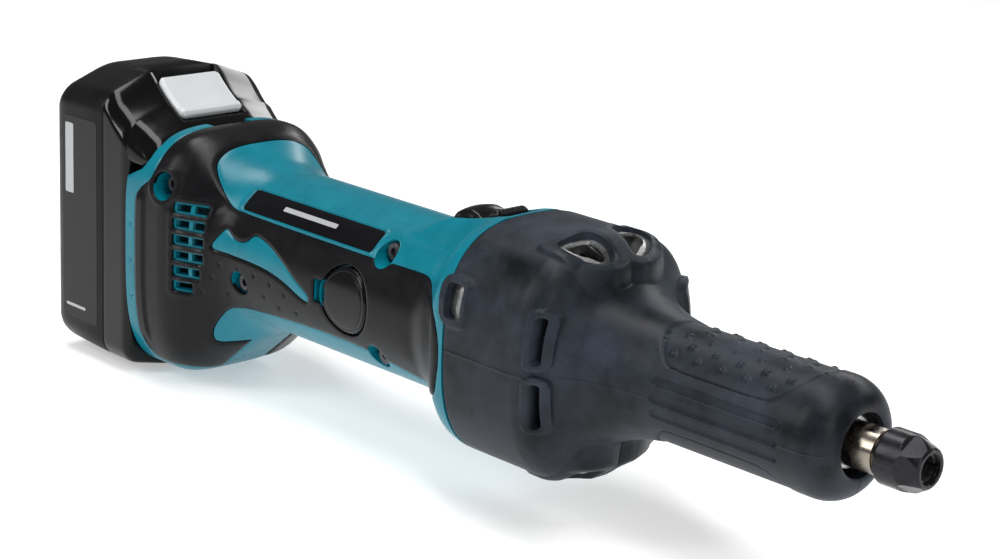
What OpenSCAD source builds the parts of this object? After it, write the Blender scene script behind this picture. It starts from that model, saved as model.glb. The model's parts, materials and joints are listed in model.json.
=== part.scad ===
// Battery die grinder: a slim motor handle, a long rubber-covered neck and a collet.
// The origin is the collet's mouth on the spindle axis. +X points out of the collet and +Z points up.
// Lengths are in millimetres. Stations along X are first counted from the battery's rear face,
// and placed() then moves every sub-part so that the collet's mouth lies at the origin.

/* [Battery] */
// Width of the battery across its flat sides
battery_w = 74; // [72:0.5:75]
// Wall of the battery's two case halves
battery_wall = 2.2; // [1.8:0.1:2.4]
// Diameter of one cell
cell_d = 18.2; // [17.8:0.1:18.4]
// Length of one cell
cell_l = 64; // [63:0.5:64]
// Cells in one column of the pack
cell_rows = 5; // [4:1:5]

/* [Handle] */
// Radius of the round grip part of the housing
handle_r = 30; // [29.8:0.1:30.2]
// Wall of the moulded housing halves
housing_wall = 2.6; // [2.4:0.1:2.8]
// Depth of the soft panel that is moulded into the housing
grip_depth = 1.2; // [0.8:0.1:1.4]
// Radius of the round covers over the carbon brushes
brush_cover_r = 12.2; // [11.8:0.1:12.3]
// Rows of air slots on each side
vent_rows = 6; // [4:1:6]
// Height of one air slot
vent_h = 3.6; // [3:0.1:4]

/* [Switch] */
// Forward travel of the slide switch from off to on
switch_travel = 4.5; // [3:0.1:4.5]
// Width of the switch knob
knob_w = 15; // [14:0.5:15.5]

/* [Motor] */
// Outer radius of the steel motor yoke
yoke_r = 23.5; // [23:0.1:23.5]
// Outer radius of the armature core
core_r = 17.8; // [17.4:0.1:18]
// Slots in the armature core
core_slots = 12; // [8:1:12]
// Radius of the armature shaft
shaft_r = 4; // [3.9:0.1:4]
// Outer radius of the commutator
commutator_r = 10.5; // [10:0.1:10.5]
// Outer radius of the fan
fan_r = 25; // [22:0.5:25.5]
// Blades on the fan
fan_blades = 11; // [7:2:13]

/* [Neck] */
// Half width of the rubber boot over the motor end
boot_hw = 38.3; // [38:0.1:38.8]
// Height of the boot's top above the axis
boot_top = 40.2; // [40:0.1:40.6]
// Depth of the boot's underside below the axis
boot_bottom = 42.8; // [42:0.1:43]
// Outer radius of the rubber boot along the neck
neck_r = 20; // [19.8:0.1:20.5]
// Thickness of the rubber boot
boot_t = 2.1; // [1.8:0.1:2.2]

/* [Collet] */
// Radius of the shank that the collet holds
collet_bore_r = 4; // [3:0.05:4]
// Outer radius of the collet nut
nut_r = 8.35; // [8.2:0.05:8.6]
// Thread radius of the collet nut
thread_r = 6.75; // [6.7:0.05:6.8]
// Radial running clearance of the nut's thread
thread_gap = 0.07; // [0.03:0.01:0.09]

/* [Hidden] */
$fn = 64;

collet_mouth_x = 400;
battery_hw = battery_w / 2;
case_joint_x = 33.5;
case_front_x = 49.5;
rail_front_x = 62;
latch_top_z = 53.8;
latch_low_z = 42.5;
latch_hw = 14.5;
flange_x = 50.2;
flange_hw = 38;
channel_x = 62.5;
handle_z = -1.5;
handle_start_x = 105;
handle_end_x = 214;
rim_x = 226;
rim_end_x = 230.8;
rim_r = 39.3;
spigot_r = 33.8;
spigot_end_x = 246;
brush_x = 170.5;
brush_cover_z = -1;
rear_bearing_x = 148;
front_bearing_x = 266;
spindle_rear_x = 292;
spindle_front_x = 352;
small_bearing_w = 7;
big_bearing_w = 8;
neck_end_x = 373;
nose_x = 377;
seat_gap = 0.03;
neck_screw_pitch_r = 30.5;
housing_screw_at = [[72, 21, 32], [184, 18.4, 19.5], [184, -18.6, 22], [110, -9, 27], [84, -40, 25]];
// Station, share of the bulb's outline and radial drop of each slice of the boot
boot_slices = [[231, 1, 0.6], [232, 1, 0], [264, 1, 0], [268.5, 0.96, 0], [272, 0.87, 0], [275, 0.66, 0],
    [277.5, 0.42, 0], [281, 0.29, 0], [287, 0.18, 0], [296, 0.06, 0], [304, 0, 0], [366, 0, 0],
    [371.5, 0, 1.4], [375.5, 0, 4.8], [nose_x, 0, 7.8]];
slant = (57 - 40.5) / (56 - case_joint_x);

// Moves a sub-part from the battery-face stations to the collet's frame
module placed() {
    translate([-collet_mouth_x, 0, 0]) children();
}

// A round bar along X between two stations
module rod(x0, x1, r, z = 0) {
    translate([x0, 0, z]) rotate([0, 90, 0]) cylinder(h = x1 - x0, r = r);
}

// A cone along X between two stations
module taper(x0, x1, r0, r1, z = 0) {
    translate([x0, 0, z]) rotate([0, 90, 0]) cylinder(h = x1 - x0, r1 = r0, r2 = r1);
}

// A round tube along X between two stations
module ring(x0, x1, outer, inner, z = 0) {
    difference() {
        rod(x0, x1, outer, z);
        rod(x0 - 1, x1 + 1, inner, z);
    }
}

// A solid of revolution about X from [station, radius] points
module turned(points) {
    rotate([0, 90, 0]) rotate_extrude() polygon([for (p = points) [p[1], p[0]]]);
}

// An [x, z] outline drawn out along Y
module along_y(points, y0, y1) {
    translate([0, y1, 0]) rotate([90, 0, 0]) linear_extrude(y1 - y0) polygon(points);
}

// A [y, z] outline drawn out along X
module along_x(points, x0, x1) {
    translate([x0, 0, 0]) rotate([90, 0, 90]) linear_extrude(x1 - x0) polygon(points);
}

// A box from its low corner to its high corner
module block(low, high) {
    translate(low) cube([high[0] - low[0], high[1] - low[1], high[2] - low[2]]);
}

// A round bar along Y
module cross_rod(x, z, y0, y1, r) {
    translate([x, y1, z]) rotate([90, 0, 0]) cylinder(h = y1 - y0, r = r);
}

// Copies its children to both sides of the tool
module both_sides() {
    children();
    mirror([0, 1, 0]) children();
}

// A full [y, z] outline from its +Y half, drawn inwards by an inset
function mirrored(half) = concat(half, [for (i = [len(half) - 1:-1:0]) [-half[i][0], half[i][1]]]);

function battery_outline(inset = 0, top = 56.5, bottom = -60) = mirrored([
    [15, bottom + inset], [33.5 - inset, bottom + 4 + inset], [battery_hw - inset, bottom + 9 + inset],
    [battery_hw - inset, top - 12 - inset], [33 - inset, top - 7 - inset], [14, top - inset]]);

function flange_outline(inset = 0) = mirrored([
    [20, -58 + inset], [33 - inset, -50 + inset], [flange_hw - inset, -40 + inset],
    [flange_hw - inset, 26 - inset], [31 - inset, 33 - inset], [14, 40 - inset]]);

/* Battery */

// Outer form of the rear case, which narrows towards its rear face
module rear_case_form(inset) {
    hull() {
        along_x(battery_outline(inset + 0.7, 54.5, -58.5), inset, inset + 0.1);
        along_x(battery_outline(inset), case_joint_x - 1, case_joint_x);
    }
}

module battery_rear_case() {
    color([0.06, 0.06, 0.065]) difference() {
        union() {
            difference() {
                rear_case_form(0);
                rear_case_form(battery_wall);
                along_x(battery_outline(battery_wall), case_joint_x - 1.1, case_joint_x + 1);
            }
            both_sides() translate([0, 24, 46.5]) rod(1, case_joint_x, 3);
        }
        both_sides() translate([0, 24, 46.5]) rod(20, case_joint_x + 1, 1.45);
    }
}

// Slot in the front block for one terminal blade
module blade_slots(half_w, low, high) {
    for (y = [-14, 0, 14]) block([53.2, y - half_w, low], [60.8, y + half_w, high]);
}

module battery_front_case() {
    color([0.02, 0.02, 0.022]) difference() {
        union() {
            difference() {
                along_x(battery_outline(), case_joint_x + 0.05, case_front_x);
                along_x(battery_outline(battery_wall), case_joint_x - 1, case_front_x - battery_wall);
            }
            both_sides() translate([0, 24, 46.5]) rod(case_joint_x + 0.05, case_front_x, 3.5);
            block([case_front_x - 0.1, -26, -20], [rail_front_x, 26, 44]);
            both_sides() {
                block([case_front_x - 0.1, 22, -43], [56.8, 26, 44]);
                block([54, 22, -43], [56.8, 30, 44]);
            }
            both_sides() block([case_joint_x + 0.05, 15.2, 43.2], [case_front_x, 17, 55]);
        }
        along_y([[case_joint_x, 57], [80, 57 - (80 - case_joint_x) * slant], [80, 70], [case_joint_x, 70]],
            -50, 50);
        blade_slots(1.8, -21, -2);
        block([20, -latch_hw - 0.4, latch_low_z - 0.5], [70, latch_hw + 0.4, latch_top_z + 0.4]);
        block([case_front_x - 5, -9, 32], [70, 9, latch_low_z]);
        both_sides() translate([0, 24, 46.5]) rod(20, case_front_x + 9, 1.6);
        both_sides() translate([0, 24, 46.5]) rod(45.2, case_front_x + 9, 2.9);
    }
}

cell_pitch = 18.8;
cell_low_z = -41.5;
cell_columns_x = [12, 12 + cell_pitch];

// One child at each cell of the pack
module at_cells() {
    for (x = cell_columns_x, i = [0:cell_rows - 1]) translate([x, 0, cell_low_z + i * cell_pitch]) children();
}

module battery_cells() {
    color([0.25, 0.45, 0.3]) at_cells() cross_rod(0, 0, -cell_l / 2, cell_l / 2, cell_d / 2);
}

module cell_holders() {
    color([0.12, 0.12, 0.13]) difference() {
        both_sides() block([3.1, 26, -50.4], [40.6, 30.2, 40.5]);
        at_cells() cross_rod(0, 0, -40, 40, cell_d / 2 + 0.1);
    }
}

module cell_straps() {
    color([0.75, 0.75, 0.73]) for (i = [0:cell_rows - 1]) {
        both_sides() translate([0, 0, cell_low_z + i * cell_pitch])
            block([7, cell_l / 2 + 0.05, -4], [36, cell_l / 2 + 0.35, 4]);
    }
}

module battery_board() {
    color([0.05, 0.25, 0.12]) union() {
        block([43, -24, -40], [44.6, 24, 30]);
        block([41.4, -6, -8], [43.1, 6, 4]);
        block([41.6, 10, 10], [43.1, 16, 20]);
    }
}

module battery_contacts() {
    color([0.8, 0.6, 0.3]) for (y = [-14, 0, 14], s = [-1, 1]) {
        block([54, y + s * 1.15 - 0.3, -16], [60, y + s * 1.15 + 0.3, -4]);
    }
}

module battery_screws() {
    color([0.3, 0.3, 0.32]) both_sides() translate([0, 24, 46.5]) {
        rod(24, 45.4, 1.4);
        difference() {
            rod(45.3, 47.2, 2.6);
            rod(46.2, 48, 1.1);
        }
    }
}

module battery_labels() {
    color([0.62, 0.63, 0.64]) both_sides() block([6, battery_hw + 0.02, -46], [30, battery_hw + 0.3, 38]);
}

// Station of the sloping front of the battery at a height
function slope_x(z) = case_joint_x + (57 - z) / slant;

module latch_button() {
    color([0.9, 0.9, 0.9]) union() {
        along_y([[slope_x(latch_low_z), latch_low_z], [slope_x(latch_top_z), latch_top_z],
            [slope_x(latch_top_z) - 4, latch_top_z], [slope_x(latch_low_z) - 5, latch_low_z]],
            -latch_hw, latch_hw);
        block([49, -8, 33], [51.8, 8, latch_low_z + 0.5]);
        along_y([[51.7, 33], [64.6, 33], [61.5, 37], [51.7, 37]], -8, 8);
    }
}

module latch_springs() {
    color([0.7, 0.7, 0.72]) both_sides() translate([0, 6, 45.5]) {
        for (i = [0:5]) translate([29 + i * 1.2, 0, 0])
            rotate([0, 90, 0]) rotate_extrude() translate([2, 0]) circle(r = 0.45, $fn = 16);
        ring(28.6, 35.6, 1.6, 1.2);
    }
}

/* Handle housing */

// Half of space on the +Y side of the seam
module half_space() {
    block([0, 0, -90], [300, 80, 90]);
}

// Whole outer form of the housing, drawn inwards by an inset
module housing_form(inset) {
    r = handle_r - inset;
    union() {
        along_x(flange_outline(inset), flange_x, 62);
        hull() {
            along_x(flange_outline(inset + 0.1), 61, 74 - inset / 2);
            rod(handle_start_x - 0.1, handle_start_x, r - 0.2, handle_z, $fn = 32);
        }
        rod(handle_start_x - 2, handle_end_x, r, handle_z);
        taper(206, rim_x, 28.5 - inset, rim_r - inset);
        rod(rim_x, rim_end_x, rim_r - inset);
        rod(rim_end_x - 1, spigot_end_x, spigot_r - inset);
        along_y([[187, 10], [190, 27 - inset], [202, 33.6 - inset], [rim_end_x - 1, rim_r - 0.8 - inset],
            [rim_end_x - 1, 10]], -12.5 + inset, 12.5 - inset);
    }
}

// Hollow of the housing in front of the battery channel
module housing_hollow() {
    inner_r = handle_r - housing_wall;
    hull() {
        along_x(flange_outline(housing_wall), channel_x + 2.6, 71);
        rod(handle_start_x - 0.1, handle_start_x, inner_r - 0.2, handle_z, $fn = 32);
    }
    rod(handle_start_x - 2, handle_end_x - 6, inner_r, handle_z);
    taper(handle_end_x - 7, handle_end_x + 4, inner_r - 1, 31);
    rod(handle_end_x + 3, spigot_end_x + 1, 31);
}

// Channel at the rear face that the battery's rails slide into from the top
module battery_channel() {
    block([53.6, -30.4, -46], [channel_x, 30.4, 70]);
    block([flange_x - 1, -26.4, -46], [53.8, 26.4, 70]);
    block([channel_x - 1, -9, 32.5], [channel_x + 4.5, 9, 70]);
}

// Openings that both sides share: the brush well, the air slots, the switch trough and the terminal opening
module shared_openings() {
    cross_rod(brush_x, brush_cover_z, 25.1, 40, brush_cover_r + 0.3);
    cross_rod(brush_x, 0, 20, 26, 6.95);
    for (i = [0:vent_rows - 1]) {
        z = 14.5 - i * 6.1 - vent_h / 2;
        block([79, 20, z], [84.4, 50, z + vent_h]);
        if (i < vent_rows - 1) block([86, 20, z], [92 - max(0, i - 3) * 2, 50, z + vent_h]);
    }
    block([196, -knob_w / 2 - 0.8, 31.5], [rim_end_x - 2.3, knob_w / 2 + 0.8, 50]);
    block([203.4, -4.4, 20], [211.8 + switch_travel, 4.4, 40]);
    block([60, -18, -42], [67, 18, -24]);
}

// Area of the soft panel, seen from the side
module grip_area() {
    along_y([[56, -46], [56, 29], [70, 33], [84, 24], [100, 19.5], [140, 15], [217, 13], [217, -18],
        [190, -20], [150, -20], [122, -25], [104, -34], [90, -46]], 5, 60);
}

// Skin of one housing half that the soft panel fills
module grip_skin(outer_inset) {
    intersection() {
        grip_area();
        difference() {
            housing_form(outer_inset);
            housing_form(grip_depth);
        }
    }
}

// Bulkheads, bosses and seats inside one half
module half_ribs() {
    intersection() {
        union() {
            rod(144.5, 157.5, 28, handle_z);
            rod(193, 196, 32);
            rod(226, 229, 32);
        }
        half_space();
    }
    cross_rod(brush_x, brush_cover_z, 22.5, 30, 14.2);
    for (s = housing_screw_at) cross_rod(s[0], s[1], 0, 40, 4.6);
    for (a = [45, 315]) rotate([a, 0, 0]) translate([0, neck_screw_pitch_r, 0]) rod(224, 240, 3.4);
    block([86, 8.4, 4], [118, 10.4, 40]);
    block([188, 0, 27.5], [rim_x, 12, 33.5]);
}

// Room for the motor, the bearing seat, the switch bar and the wires
module rib_openings() {
    rod(rear_bearing_x - 0.4, 158, 12.6);
    rod(140, 150, 8);
    rod(190, 250, yoke_r + 0.1);
    rod(177, 191, 15.4);
    block([90, -5.2, 22], [220, 5.2, 25.6]);
    cross_rod(brush_x, 0, 12, 26, 6.95);
    translate([0, 19.5, 9]) rod(140, 160, 2.6);
}

// Right half of the housing before its screw holes
module plain_half() {
    difference() {
        union() {
            difference() {
                intersection() {
                    housing_form(0);
                    half_space();
                }
                housing_hollow();
            }
            intersection() {
                housing_form(1.8);
                difference() {
                    half_ribs();
                    rib_openings();
                }
            }
        }
        battery_channel();
        shared_openings();
        grip_skin(-1);
        for (a = [45, 315]) rotate([a, 0, 0]) translate([0, neck_screw_pitch_r, 0]) rod(226, 250, 1.6);
    }
}

// Screw recess and clearance hole in the left half
module screw_recesses() {
    for (s = housing_screw_at) {
        cross_rod(s[0], s[1], -60, -s[2] + 3, 4);
        cross_rod(s[0], s[1], -s[2], 1, 1.9);
    }
}

// Screw threads in the right half
module screw_threads() {
    for (s = housing_screw_at) cross_rod(s[0], s[1], -1, s[2] - 10, 1.6);
}

module housing_left() {
    color([0, 0.51, 0.61]) difference() {
        mirror([0, 1, 0]) plain_half();
        screw_recesses();
    }
}

module housing_right() {
    color([0, 0.51, 0.61]) difference() {
        plain_half();
        screw_threads();
    }
}

// Soft panel of the right half
module plain_grip() {
    difference() {
        grip_skin(0);
        battery_channel();
        shared_openings();
    }
}

module grip_left() {
    color([0.05, 0.05, 0.055]) difference() {
        mirror([0, 1, 0]) plain_grip();
        screw_recesses();
    }
}

module grip_right() {
    color([0.05, 0.05, 0.055]) plain_grip();
}

module name_plate() {
    color([0.04, 0.04, 0.045]) intersection() {
        ring(105.1, 177, handle_r + 0.55, handle_r + 0.03, handle_z);
        along_x([[0, handle_z], [-26.9, 40.7], [-39.1, 29.6]], 100, 180);
    }
}

module housing_screws() {
    color([0.25, 0.25, 0.27]) for (s = housing_screw_at) {
        cross_rod(s[0], s[1], -s[2] + 0.1, s[2] - 11, 1.5);
        difference() {
            cross_rod(s[0], s[1], -s[2] + 0.2, -s[2] + 2.9, 3.4);
            cross_rod(s[0], s[1], -s[2] - 1, -s[2] + 1.6, 1.5);
        }
    }
}

/* Electrics */

module terminal_block() {
    color([0.05, 0.05, 0.05]) union() {
        block([52.6, -19.5, -45.5], [channel_x - 0.1, 19.5, -21]);
        block([channel_x - 0.2, -17.5, -41.5], [66.8, 17.5, -24.5]);
    }
}

module terminal_blades() {
    color([0.85, 0.62, 0.35]) for (y = [-14, 0, 14]) {
        block([54.5, y - 0.4, -20.98], [59.5, y + 0.4, -7]);
        block([66.82, y - 0.4, -36], [70, y + 0.4, -30]);
    }
}

module controller_board() {
    color([0.05, 0.3, 0.15]) union() {
        block([72, -20, -31], [92, 20, -29.4]);
        block([75, -14, -29.5], [79, -8, -25]);
        translate([84, 13, -29.5]) cylinder(h = 9, r = 4);
    }
}

module heat_sink() {
    color([0.7, 0.71, 0.72]) union() {
        block([80, -10, -29.38], [90, 4, -27]);
        for (i = [0:4]) block([80, -10 + i * 3.2, -27.1], [90, -8.8 + i * 3.2, -20]);
    }
}

// A straight wire between two points
module wire(p, q, r) {
    d = q - p;
    translate(p) rotate([0, acos(d[2] / norm(d)), atan2(d[1], d[0])]) cylinder(h = norm(d), r = r);
}

module lead_wires() {
    color([0.55, 0.05, 0.05]) both_sides() {
        wire([71.6, 14, -26], [87, 4, 12], 1.2);
        wire([117.6, 4, 14], [137, 18.5, 9], 1.2);
        translate([0, 19.5, 9]) rod(138.5, 163, 1.2);
        translate([137.9, 19.3, 9]) sphere(r = 1.7);
    }
}

module switch_body() {
    color([0.08, 0.08, 0.09]) difference() {
        block([88.4, -8, 8], [116, 8, 21.8]);
        block([97.6, -2.4, 14], [107.5, 2.4, 24]);
    }
}

module switch_bar() {
    color([0.1, 0.1, 0.11]) union() {
        block([96, -4, 23.9], [212, 4, 25.1]);
        block([98, -2, 15], [102, 2, 24]);
    }
}

module switch_knob() {
    color([0.03, 0.03, 0.035]) difference() {
        union() {
            along_y([[200, 31.9], [200, 34.6], [204, 37], [208.5, 38], [213, 37], [216, 35.6], [218.5, 38.6],
                [221, 39.8], [223.2, 38.8], [223.6, 31.9]], -knob_w / 2, knob_w / 2);
            block([204.2, -4, 25.1], [211, 4, 32]);
        }
        for (i = [0:2]) cross_rod(203 + i * 3, 39.2 + i * 0.7, -9, 9, 0.6);
    }
}

/* Motor */

module brush_holders() {
    color([0.78, 0.62, 0.32]) both_sides() difference() {
        cross_rod(brush_x, 0, 13, 24.6, 6.8);
        block([brush_x - 3.3, 12, -4.6], [brush_x + 3.3, 22, 4.6]);
        cross_rod(brush_x, 0, 21.6, 25, 6.02);
    }
}

module carbon_brushes() {
    color([0.12, 0.12, 0.12]) both_sides() difference() {
        block([brush_x - 3.1, 8, -4.4], [brush_x + 3.1, 17.5, 4.4]);
        rod(brush_x - 5, brush_x + 5, commutator_r + 0.08);
    }
}

module brush_springs() {
    color([0.6, 0.6, 0.62]) both_sides() for (i = [0:3]) {
        translate([brush_x, 18 + i, 0]) rotate([90, 0, 0]) rotate_extrude() translate([2.2, 0])
            circle(r = 0.4, $fn = 16);
    }
}

module brush_caps() {
    color([0.07, 0.07, 0.08]) both_sides() difference() {
        cross_rod(brush_x, 0, 21.7, 24.9, 5.98);
        block([brush_x - 5, 23.6, -0.8], [brush_x + 5, 26, 0.8]);
    }
}

// Round cover, curved like the handle, with a pry notch at its rear edge
module brush_cover() {
    difference() {
        intersection() {
            cross_rod(brush_x, brush_cover_z, 25.2, 40, brush_cover_r);
            rod(brush_x - 20, brush_x + 20, handle_r + 0.35, handle_z);
        }
        block([brush_x - brush_cover_r - 1, 26.5, brush_cover_z - 2.6],
            [brush_x - brush_cover_r + 1.8, 40, brush_cover_z + 2.6]);
    }
}

module brush_cover_right() {
    color([0.03, 0.03, 0.035]) brush_cover();
}

module brush_cover_left() {
    color([0.03, 0.03, 0.035]) mirror([0, 1, 0]) brush_cover();
}

module bearing_sleeve() {
    color([0.1, 0.1, 0.1]) ring(rear_bearing_x - 0.3, rear_bearing_x + small_bearing_w + 0.3, 12.55, 11.03);
}

module yoke() {
    color([0.45, 0.46, 0.48]) ring(191, 248, yoke_r, 21.3);
}

module magnets() {
    color([0.2, 0.2, 0.22]) difference() {
        ring(194, 245, 21.27, 18.4);
        block([190, -30, -8], [252, 30, 8]);
    }
}

module air_baffle() {
    color([0.1, 0.1, 0.11]) difference() {
        ring(248.8, 250.6, 33.6, 15.5);
        at_neck_screws() rod(248, 252, 4.9);
    }
}

module armature_shaft() {
    color([0.7, 0.7, 0.72]) rod(146, 281, shaft_r);
}

module armature_core() {
    color([0.4, 0.4, 0.43]) difference() {
        ring(200, 239, core_r, shaft_r + 0.02);
        for (i = [0:core_slots - 1]) rotate([i * 360 / core_slots, 0, 0]) {
            translate([0, 13.6, 0]) rod(199, 240, 1.9);
            block([199, 14, -0.6], [240, 20, 0.6]);
        }
    }
}

module armature_windings() {
    color([0.72, 0.38, 0.15]) union() {
        ring(186, 199.95, 14.8, 7);
        ring(239.05, 247, 14.8, 7);
        for (i = [0:core_slots - 1]) rotate([i * 360 / core_slots, 0, 0])
            translate([0, 13, 0]) rod(199, 240, 1.2);
    }
}

module commutator() {
    color([0.75, 0.45, 0.25]) difference() {
        ring(163, 178, commutator_r, shaft_r + 0.02);
        for (i = [0:11]) rotate([i * 30, 0, 0]) block([162, commutator_r - 0.9, -0.3], [179, 12, 0.3]);
    }
}

module fan() {
    color([0.1, 0.1, 0.11]) union() {
        ring(252, 264, 8, shaft_r + 0.02);
        ring(262, 264, fan_r, 7.5);
        for (i = [0:fan_blades - 1]) rotate([i * 360 / fan_blades, 0, 0])
            block([252, 7.6, -0.8], [262.1, fan_r - 0.4, 0.8]);
    }
}

module coupling() {
    color([0.15, 0.15, 0.16]) difference() {
        rod(274.5, 291, 9);
        rod(274, 281.6, shaft_r + 0.02);
        rod(281.5, 292, 5.02);
    }
}

// Shared measures of the two bearing sizes: bore, outside, ball pitch and ball radius, width
small_bearing = [shaft_r + 0.02, 11, 7.5, 1.65, small_bearing_w];
big_bearing = [6.02, 14, 10.2, 2.24, big_bearing_w];

// One child at each bearing of a size
module at_small() {
    for (x = [rear_bearing_x, front_bearing_x]) translate([x, 0, 0]) children();
}

module at_big() {
    for (x = [spindle_rear_x, spindle_front_x]) translate([x, 0, 0]) children();
}

// Ball track of a bearing
module track(b, clearance) {
    translate([b[4] / 2, 0, 0]) rotate([0, 90, 0]) rotate_extrude() translate([b[2], 0])
        circle(r = b[3] + clearance);
}

module outer_race(b) {
    difference() {
        ring(0, b[4], b[1], b[2] + b[3] * 0.72);
        track(b, 0.06);
    }
}

module inner_race(b) {
    difference() {
        ring(0, b[4], b[2] - b[3] * 0.72, b[0]);
        track(b, 0.06);
    }
}

// One child at each ball of a bearing
module at_balls(b, count) {
    for (i = [0:count - 1]) rotate([i * 360 / count, 0, 0]) translate([b[4] / 2, b[2], 0]) children();
}

// Two side rings, joined by a pin between each pair of balls
module cage(b, count) {
    mid = b[4] / 2;
    reach = b[3] + 0.6;
    for (x = [mid - reach, mid + reach - 0.5]) ring_at(x, b);
    for (i = [0:count - 1]) rotate([(i + 0.5) * 360 / count, 0, 0])
        translate([0, b[2], 0]) rod(mid - reach + 0.2, mid + reach - 0.2, 0.35);
}

// One side ring of a cage
module ring_at(x, b) {
    ring(x, x + 0.5, b[2] + b[3] * 0.4, b[2] - b[3] * 0.4);
}

module bearing_outer_races() {
    color([0.72, 0.73, 0.75]) {
        at_small() outer_race(small_bearing);
        at_big() outer_race(big_bearing);
    }
}

module bearing_inner_races() {
    color([0.72, 0.73, 0.75]) {
        at_small() inner_race(small_bearing);
        at_big() inner_race(big_bearing);
    }
}

module bearing_balls() {
    color([0.85, 0.85, 0.87]) {
        at_small() at_balls(small_bearing, 8) sphere(r = small_bearing[3]);
        at_big() at_balls(big_bearing, 9) sphere(r = big_bearing[3]);
    }
}

module bearing_cages() {
    color([0.5, 0.35, 0.15]) {
        at_small() cage(small_bearing, 8);
        at_big() cage(big_bearing, 9);
    }
}

/* Neck */

// Radius of the boot's outline at an angle: a rounded square over the motor that shares into the round neck
function slice_r(a, share) = neck_r + share * (pow(pow(abs(cos(a)) / boot_hw, 2.8)
    + pow(abs(sin(a)) / (a < 180 ? boot_top : boot_bottom), 2.8), -1 / 2.8) - neck_r);

// The rings of points of the boot's slices, drawn inwards by an inset and shifted back over the shoulder
function boot_rings(slices, inset, back) = [for (s = slices)
    let (x = s[0] - (s[1] > 0 && s[1] < 1 ? back : 0))
    [for (a = [0:10:350]) let (r = slice_r(a, s[1]) - s[2] - inset) [x, r * cos(a), r * sin(a)]]];

// A closed skin over a stack of rings of points
module skin(rings) {
    n = len(rings[0]);
    top = len(rings) - 1;
    polyhedron([for (ring = rings, p = ring) p], concat(
        [[for (i = [0:n - 1]) i]],
        [[for (i = [n - 1:-1:0]) top * n + i]],
        [for (k = [0:top - 1], i = [0:n - 1]) [k * n + i, (k + 1) * n + i, (k + 1) * n + (i + 1) % n]],
        [for (k = [0:top - 1], i = [0:n - 1]) [k * n + i, (k + 1) * n + (i + 1) % n, k * n + (i + 1) % n]]));
}

// Slices of the casting and of the boot's hollow: the boot's own, from a start to an end station
function inner_slices(start, end) =
    concat([[start, 1, 0]], [for (i = [2:10]) boot_slices[i]], [[end, 0, 0]]);

// Air outlets through the casting and the boot
module air_outlets(grow) {
    for (a = [70, 110, 250, 290]) rotate([a, 0, 0])
        block([260.5 - grow, 20, -6.5 - grow], [273 + grow, 50, 6.5 + grow]);
    both_sides() {
        block([270.5 - grow, 22, 3.5 - grow], [274 + grow, 50, 20 + grow]);
        block([270.5 - grow, 22, -17.5 - grow], [274 + grow, 50, -1.5 + grow]);
    }
}

// One child at each neck screw
module at_neck_screws() {
    for (a = [45:90:315]) rotate([a, 0, 0]) translate([0, neck_screw_pitch_r, 0]) children();
}

module neck_housing() {
    color([0.75, 0.76, 0.77]) difference() {
        union() {
            difference() {
                skin(boot_rings(inner_slices(rim_end_x + 0.5, neck_end_x), boot_t + 0.15, 2));
                rod(rim_end_x, 262, 33.9);
                taper(261.9, 269, 33.5, 25);
            }
            rod(264.5, 283, 14.4);
            for (a = [0:60:300]) rotate([a, 0, 0]) block([265.5, 13, -1.5], [271, 30, 1.5]);
            at_neck_screws() rod(spigot_end_x + 0.2, 268, 4.6);
        }
        rod(264, front_bearing_x + small_bearing_w, 11 + seat_gap);
        rod(272.9, 291.9, 9.7);
        rod(291.8, neck_end_x + 1, 14 + seat_gap);
        at_neck_screws() {
            rod(240, 290, 1.9);
            rod(266.5, 310, 4);
        }
        air_outlets(0);
    }
}

module neck_screws() {
    color([0.3, 0.3, 0.32]) at_neck_screws() {
        rod(230, 266.8, 1.5);
        difference() {
            rod(266.7, 269.9, 3.4);
            rod(268.4, 271, 1.6);
        }
    }
}

module outer_spacer() {
    color([0.6, 0.6, 0.62]) ring(spindle_rear_x + big_bearing_w + 0.05, spindle_front_x - 0.05, 14, 12.4);
}

module inner_spacer() {
    color([0.6, 0.6, 0.62]) ring(spindle_rear_x + big_bearing_w + 0.05, spindle_front_x - 0.05, 8, 6.03);
}

module bearing_retainer() {
    color([0.35, 0.35, 0.37]) difference() {
        ring(360.1, 366.8, 14, 8.6);
        for (a = [0, 90, 180, 270]) rotate([a, 0, 0]) translate([0, 11.3, 0]) rod(364, 368, 1.2);
    }
}

module dust_ring() {
    color([0.4, 0.4, 0.42]) difference() {
        ring(368, 376.4, 9.8, 7.27);
        for (x = [370.5, 373.5]) ring(x, x + 1.2, 10.5, 9);
    }
}

module spindle() {
    color([0.62, 0.6, 0.55]) difference() {
        turned([[282, 0], [282, 5], [spindle_rear_x - 0.05, 5], [spindle_rear_x - 0.05, 6],
            [spindle_front_x + big_bearing_w + 0.05, 6], [spindle_front_x + big_bearing_w + 0.05, 7.25],
            [384.8, 7.25], [384.8, 6.3], [386, 6.3], [386.4, thread_r], [397.3, thread_r], [397.3, 0]]);
        rod(356, 400, 4.4);
        rod(372, 386.4, 4.85);
        taper(386.3, 397.35, 4.85, 6.12);
        for (s = [-1, 1]) block([378, -9, s * 8 - 1.5], [384, 9, s * 8 + 1.5]);
    }
}

module rubber_boot() {
    color([0.12, 0.13, 0.15]) difference() {
        union() {
            skin(boot_rings(boot_slices, 0, 0));
            intersection() {
                skin(boot_rings(boot_slices, -3, 0));
                for (s = [-1, 1]) block([254, -23, s * 40 - 16], [277, 23, s * 40 + 16]);
            }
        }
        skin(boot_rings(inner_slices(rim_end_x - 1, neck_end_x + 0.2), boot_t, 2));
        rod(neck_end_x - 1, nose_x + 1, 10.4);
        air_outlets(1);
        both_sides() block([232.5, 28, 11], [240.5, 50, 21]);
    }
}

/* Collet */

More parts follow.
